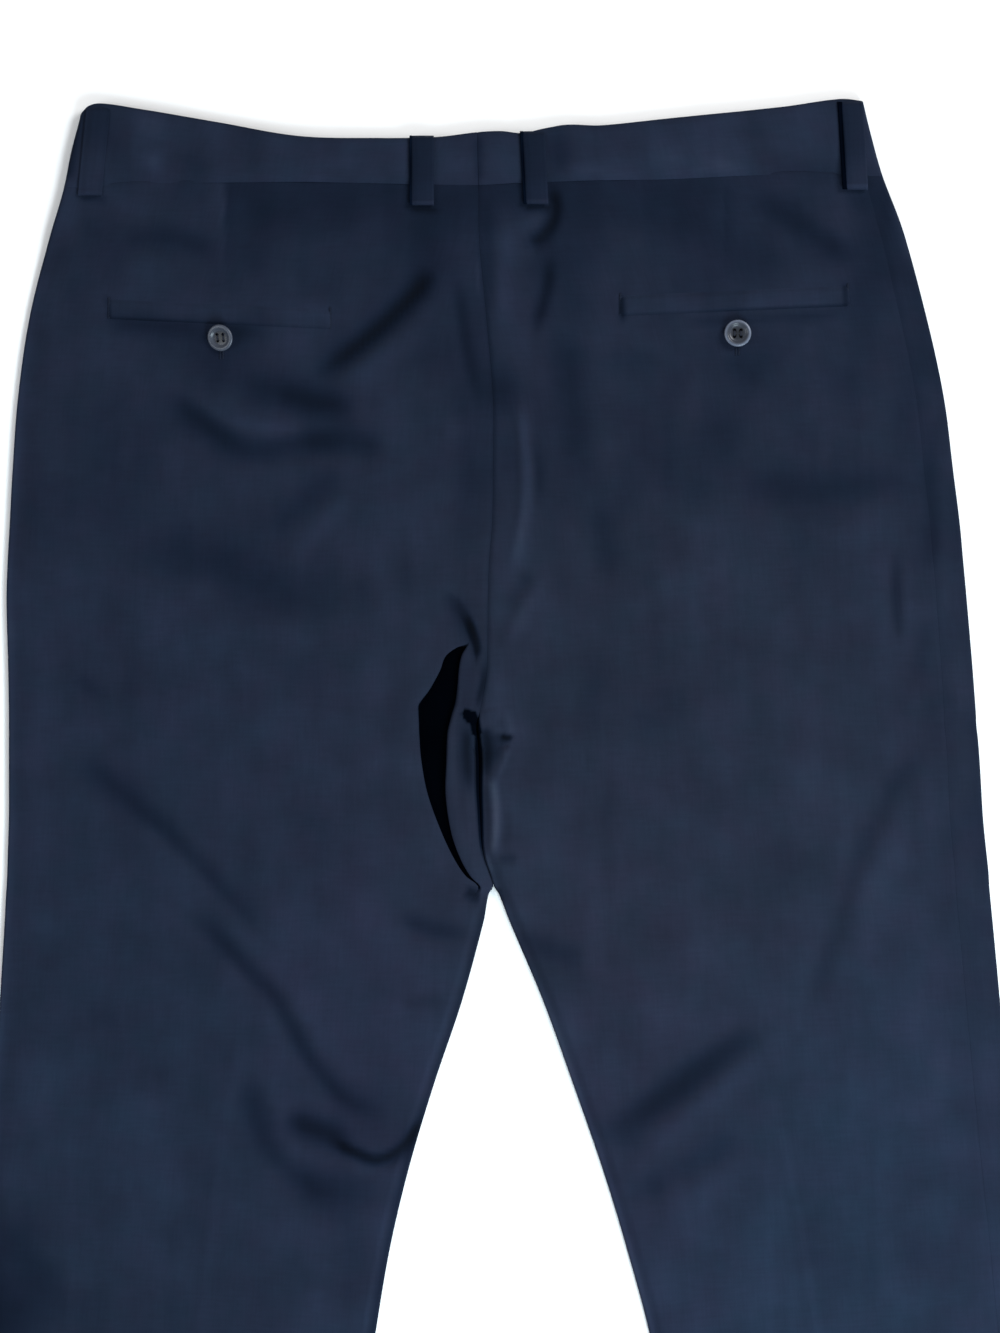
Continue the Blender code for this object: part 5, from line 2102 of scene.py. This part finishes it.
        # painted light and shade of the button, by its radius
        reach = np.array([vertex.co.xy.length for vertex in mesh.vertices]) / radius
        dish, slope, rim = self.button_painted_light
        shade = dish + slope * ramp(reach, *self.slope) + rim * ramp(reach, *self.rim)
        mesh.attributes.new("Shade", "FLOAT", "POINT").data.foreach_set("value", shade)
        piece = add_piece(f"{name}_resin", mesh, resin)
        self.drill(piece)
        piece.location, piece.rotation_euler = self.seat()
        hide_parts(f"button_{self.side.word}")
        return piece

    def drill(self, piece: Object) -> None:
        """Cut the four thread holes through the button."""
        form = bmesh.new()
        for hole in self.holes():
            made = bmesh.ops.create_cone(
                form, cap_ends=True, segments=self.drill_sides, radius1=self.drill_radius * MM,
                radius2=self.drill_radius * MM, depth=4 * self.button_height * MM)
            bmesh.ops.translate(form, verts=made["verts"], vec=hole)
        mesh = bpy.data.meshes.new("hole cutter")
        form.to_mesh(mesh)
        form.free()
        cutter = bpy.data.objects.new("hole cutter", mesh)
        bpy.context.scene.collection.objects.link(cutter)
        cut = piece.modifiers.new("Holes", "BOOLEAN")
        cut.operation = "DIFFERENCE"
        cut.object = cutter
        bpy.context.view_layer.update()
        graph = bpy.context.evaluated_depsgraph_get()
        drilled = bpy.data.meshes.new_from_object(piece.evaluated_get(graph))
        piece.modifiers.clear()
        piece.data = drilled
        drilled.set_sharp_from_angle(angle=math.radians(self.sharp))
        bpy.data.objects.remove(cutter)

    def holes(self) -> list[Vector]:
        """Centres of the thread holes, from the button's own centre."""
        reach = self.drill_place * self.button_radius * MM
        return [Vector((sx * reach, sy * reach, 0.0)) for sx in (-1, 1) for sy in (-1, 1)]

    def build_button_thread(self, thread: Material) -> Object:
        """Thread over the button: two short bars, from hole to hole."""
        holes = self.holes()
        centre, tilt = self.seat()
        bars = Sewing(f"button_thread_{self.side.word}", width=self.thread_width)
        for pair in (holes[:2], holes[2:]):
            for slip in self.thread_slips:
                ends = []
                for hole in pair:
                    point = hole + Vector((slip * MM, 0.0, self.thread_level * self.button_height * MM))
                    point.rotate(tilt)
                    ends.append(np.array(point + centre))
                bars.stitch(*ends)
        return bars.build(thread, "button")


@dataclass
class Fly:
    """Fly of the front: the shield and the closed zip behind it, and its stitching."""

    lay: Lay
    grid: tuple[int, int] = (49, 13)
    top: float = 74.0
    length: float = 170.0
    trim: float = 0.9
    half_wall: float = 0.5
    # middles from the centre front, and widths
    zip_offset: float = 4.0
    zip_width: float = 28.0
    chain: float = 0.25
    chain_width: float = 0.09
    shield_offset: float = 8.0
    shield_width: float = 52.0
    shield_lift: float = 1.0
    shield_extra: float = 10.0
    # curved row of stitches: its drops, how far out it runs, where it bends in, its height
    stitch_span: tuple[float, float] = (60.0, 240.0)
    stitch_points: int = 60
    stitch_reach: float = 38.0
    stitch_bend: float = 196.0
    bend_power: float = 1.6
    stitch_level: float = 0.12
    stitch_width: float = 0.42

    def strip(self, node: str, width: float, offset: float, below: float, length: float,
              material: Material) -> Object:
        """Strip behind the fly.

        Args:
            node: The solid that it stands for.
            width: Its width.
            offset: Its middle, from the centre front.
            below: Gap under it.
            length: Its length.
            material: The finish.

        Returns:
            The strip.
        """
        lay = self.lay
        rows, columns = self.grid
        share = np.linspace(0.0, 1.0, rows)[:, None]
        across = np.linspace(-0.5, 0.5, columns)[None, :]
        drop = self.top + share * length
        x = lay.inner_tip(Side.LEFT, drop) + offset + across * width
        chain = self.chain * bump(np.abs(across), self.chain_width) * (node == "zip")
        z = lay.under_level(drop) + lay.cloth / 2 + below + self.half_wall + chain
        piece = add_cloth(node, lay.to_frame(x, drop, z), (across * width, share * length),
                          np.ones_like(z), material, self.trim)
        return piece

    def build(self, wardrobe: Wardrobe) -> list[Object]:
        """Build the zip, the shield and the curved row of stitches that holds them.

        Args:
            wardrobe: The finishes.

        Returns:
            The pieces.
        """
        lay = self.lay
        pieces = [
            self.strip("zip", self.zip_width, self.zip_offset, lay.seam, self.length, wardrobe.tape),
            self.strip("fly_shield", self.shield_width, self.shield_offset, 2 * lay.seam + self.shield_lift,
                       self.length + self.shield_extra, wardrobe.cloth),
        ]
        start, end = self.stitch_span
        drop = np.linspace(start, end, self.stitch_points)
        reach = self.stitch_reach * (1 - ramp(drop, self.stitch_bend, end) ** self.bend_power)
        seam = Sewing("fly_stitches", width=self.stitch_width)
        seam.row(lay.to_frame(lay.inner_tip(Side.LEFT, drop) - reach, drop, self.stitch_level))
        pieces.append(seam.build(wardrobe.thread))
        return pieces


# ------------------------------------------------------------------------------ studio

@dataclass(frozen=True)
class Lamp:
    """Square soft light that faces the middle of the view.

    It stands at a place in metres from the origin; its size is its side in metres, and
    its power is in watts.
    """

    name: str
    place: tuple[float, float, float]
    size: float
    power: float
    tint: Colour

    def build(self, aim: Vector) -> None:
        """Add the light, turned towards a point."""
        light = bpy.data.lights.new(self.name, "AREA")
        light.size = self.size
        light.energy = self.power
        light.color = self.tint
        lamp = bpy.data.objects.new(self.name, light)
        lamp.location = self.place
        lamp.rotation_euler = (aim - Vector(self.place)).to_track_quat("-Z", "Y").to_euler()
        bpy.context.scene.collection.objects.link(lamp)


@dataclass
class Studio:
    """Pale floor, soft light from the upper right, and a camera straight above."""

    lay: Lay
    view_x: float = 4.3
    view_drop: float = 350.6
    view_length: float = 826.5
    camera_height: float = 1.9
    sensor: float = 36.0
    floor_size: float = 12.0
    floor_depth: float = 0.02
    floor_colour: Colour = (0.95, 0.95, 0.95)
    floor_roughness: float = 0.9
    floor_specular: float = 0.1
    sky: float = 0.40
    lamps: tuple[Lamp, ...] = (
        Lamp("key", (1.7, 1.5, 1.4), 1.0, 48.0, WHITE),
        Lamp("low fill", (0.6, -0.8, 0.9), 0.7, 21.0, (0.80, 1.0, 1.10)),
        Lamp("side fill", (-1.6, 0.1, 1.2), 1.0, 12.0, (0.94, 1.0, 1.05)),
    )

    def build(self) -> None:
        """Set up the floor, the lights and the camera."""
        self.build_floor()
        self.build_light()
        self.build_camera()

    def build_floor(self) -> None:
        """Plain pale floor."""
        form = bmesh.new()
        bmesh.ops.create_grid(form, x_segments=1, y_segments=1, size=self.floor_size / 2)
        mesh = bpy.data.meshes.new("floor")
        form.to_mesh(mesh)
        form.free()
        mesh.materials.append(Nodes("pale floor").finish(
            None, Base_Color=(*self.floor_colour, 1.0), Roughness=self.floor_roughness,
            Specular_IOR_Level=self.floor_specular))
        floor = bpy.data.objects.new("floor", mesh)
        floor.location.z = -self.floor_depth * MM
        bpy.context.scene.collection.objects.link(floor)

    def build_light(self) -> None:
        """Wide soft lights and an even sky."""
        world = bpy.data.worlds.new("studio")
        world.use_nodes = True
        sky = world.node_tree.nodes["Background"]
        sky.inputs["Color"].default_value = (*WHITE, 1.0)
        sky.inputs["Strength"].default_value = self.sky
        bpy.context.scene.world = world
        for lamp in self.lamps:
            lamp.build(self.centre())

    def centre(self) -> Vector:
        """Middle of the view, on the floor."""
        return Vector(self.lay.to_frame(self.view_x, self.view_drop, 0.0))

    def build_camera(self) -> None:
        """Camera straight above the seat, framed so that the view ends below the knees."""
        camera = bpy.data.cameras.new("camera")
        camera.sensor_width = self.sensor
        camera.lens = self.sensor * self.camera_height / (self.view_length * MM)
        eye = bpy.data.objects.new("camera", camera)
        eye.location = self.centre() + Vector((0, 0, self.camera_height))
        bpy.context.scene.collection.objects.link(eye)
        bpy.context.scene.camera = eye
        bpy.context.scene.view_settings.view_transform = "Standard"


def add_loops(lay: Lay, wardrobe: Wardrobe) -> None:
    """Build the belt loops: four on the top side, two under the front."""
    for loop in (
        BeltLoop("loop_back_left", -43.2, 44.5, 42.0, 0.0, lay, flank=1.9, flank_tone=-1.7),
        BeltLoop("loop_back_right", 26.4, 42.8, 44.0, 0.05, lay, flank=2.2, flank_tone=-2.1),
        BeltLoop("loop_side_left", -246.5, 32.5, 54.0, -0.10, lay, width=15.0, stand=0.2, tone=-0.6,
                 lit=0.55, lit_span=(0.2, 0.7), lean_tone=-0.5, edge_drop=1.5, edge_share=0.4, groove=0.0,
                 hem_lit=0.1),
        BeltLoop("loop_side_right", 223.4, 29.0, 54.0, 0.06, lay, width=12.4, tone=-0.6, lit=0.45,
                 flank=3.1, flank_tone=-3.2),
    ):
        loop.build(wardrobe)
    for loop in (
        BeltLoop("loop_front_left", -132.0, 44.0, 43.0, 0.0, lay),
        BeltLoop("loop_front_right", 112.0, 39.0, 46.0, 0.0, lay),
    ):
        loop.build_under(wardrobe.cloth)


def main() -> None:
    """Dress the trousers and set up the studio."""
    logging.basicConfig(level=logging.INFO, format="%(message)s")
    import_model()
    lay = Lay()
    lay.set_on_frame()
    Studio(lay).build()
    wardrobe = Wardrobe()
    for side in Side:
        FrontPanel(side, lay).build(wardrobe)
        BackPanel(side, lay).build(wardrobe)
        Waistband(side, lay).build(wardrobe.cloth)
    add_loops(lay, wardrobe)
    # the left button's rim is painted with less light, and its welt's lip shadow is painted darker at its
    # start
    BackPocket(Side.LEFT, lay, (-239.0, 129.0), (-99.0, 135.5), (-167.8, 147.3), button_tilt=(16.0, -19.0),
               button_lift=2.4, button_painted_light=(0.16, 0.36, 0.18), welt_tone=-0.02, proud=0.15,
               lip_painted_shadow=(-0.75, -0.3)).build(wardrobe)
    BackPocket(Side.RIGHT, lay, (77.0, 127.0), (221.0, 121.0), (151.0, 145.0)).build(wardrobe)
    Fly(lay).build(wardrobe)


if __name__ == "__main__":
    main()
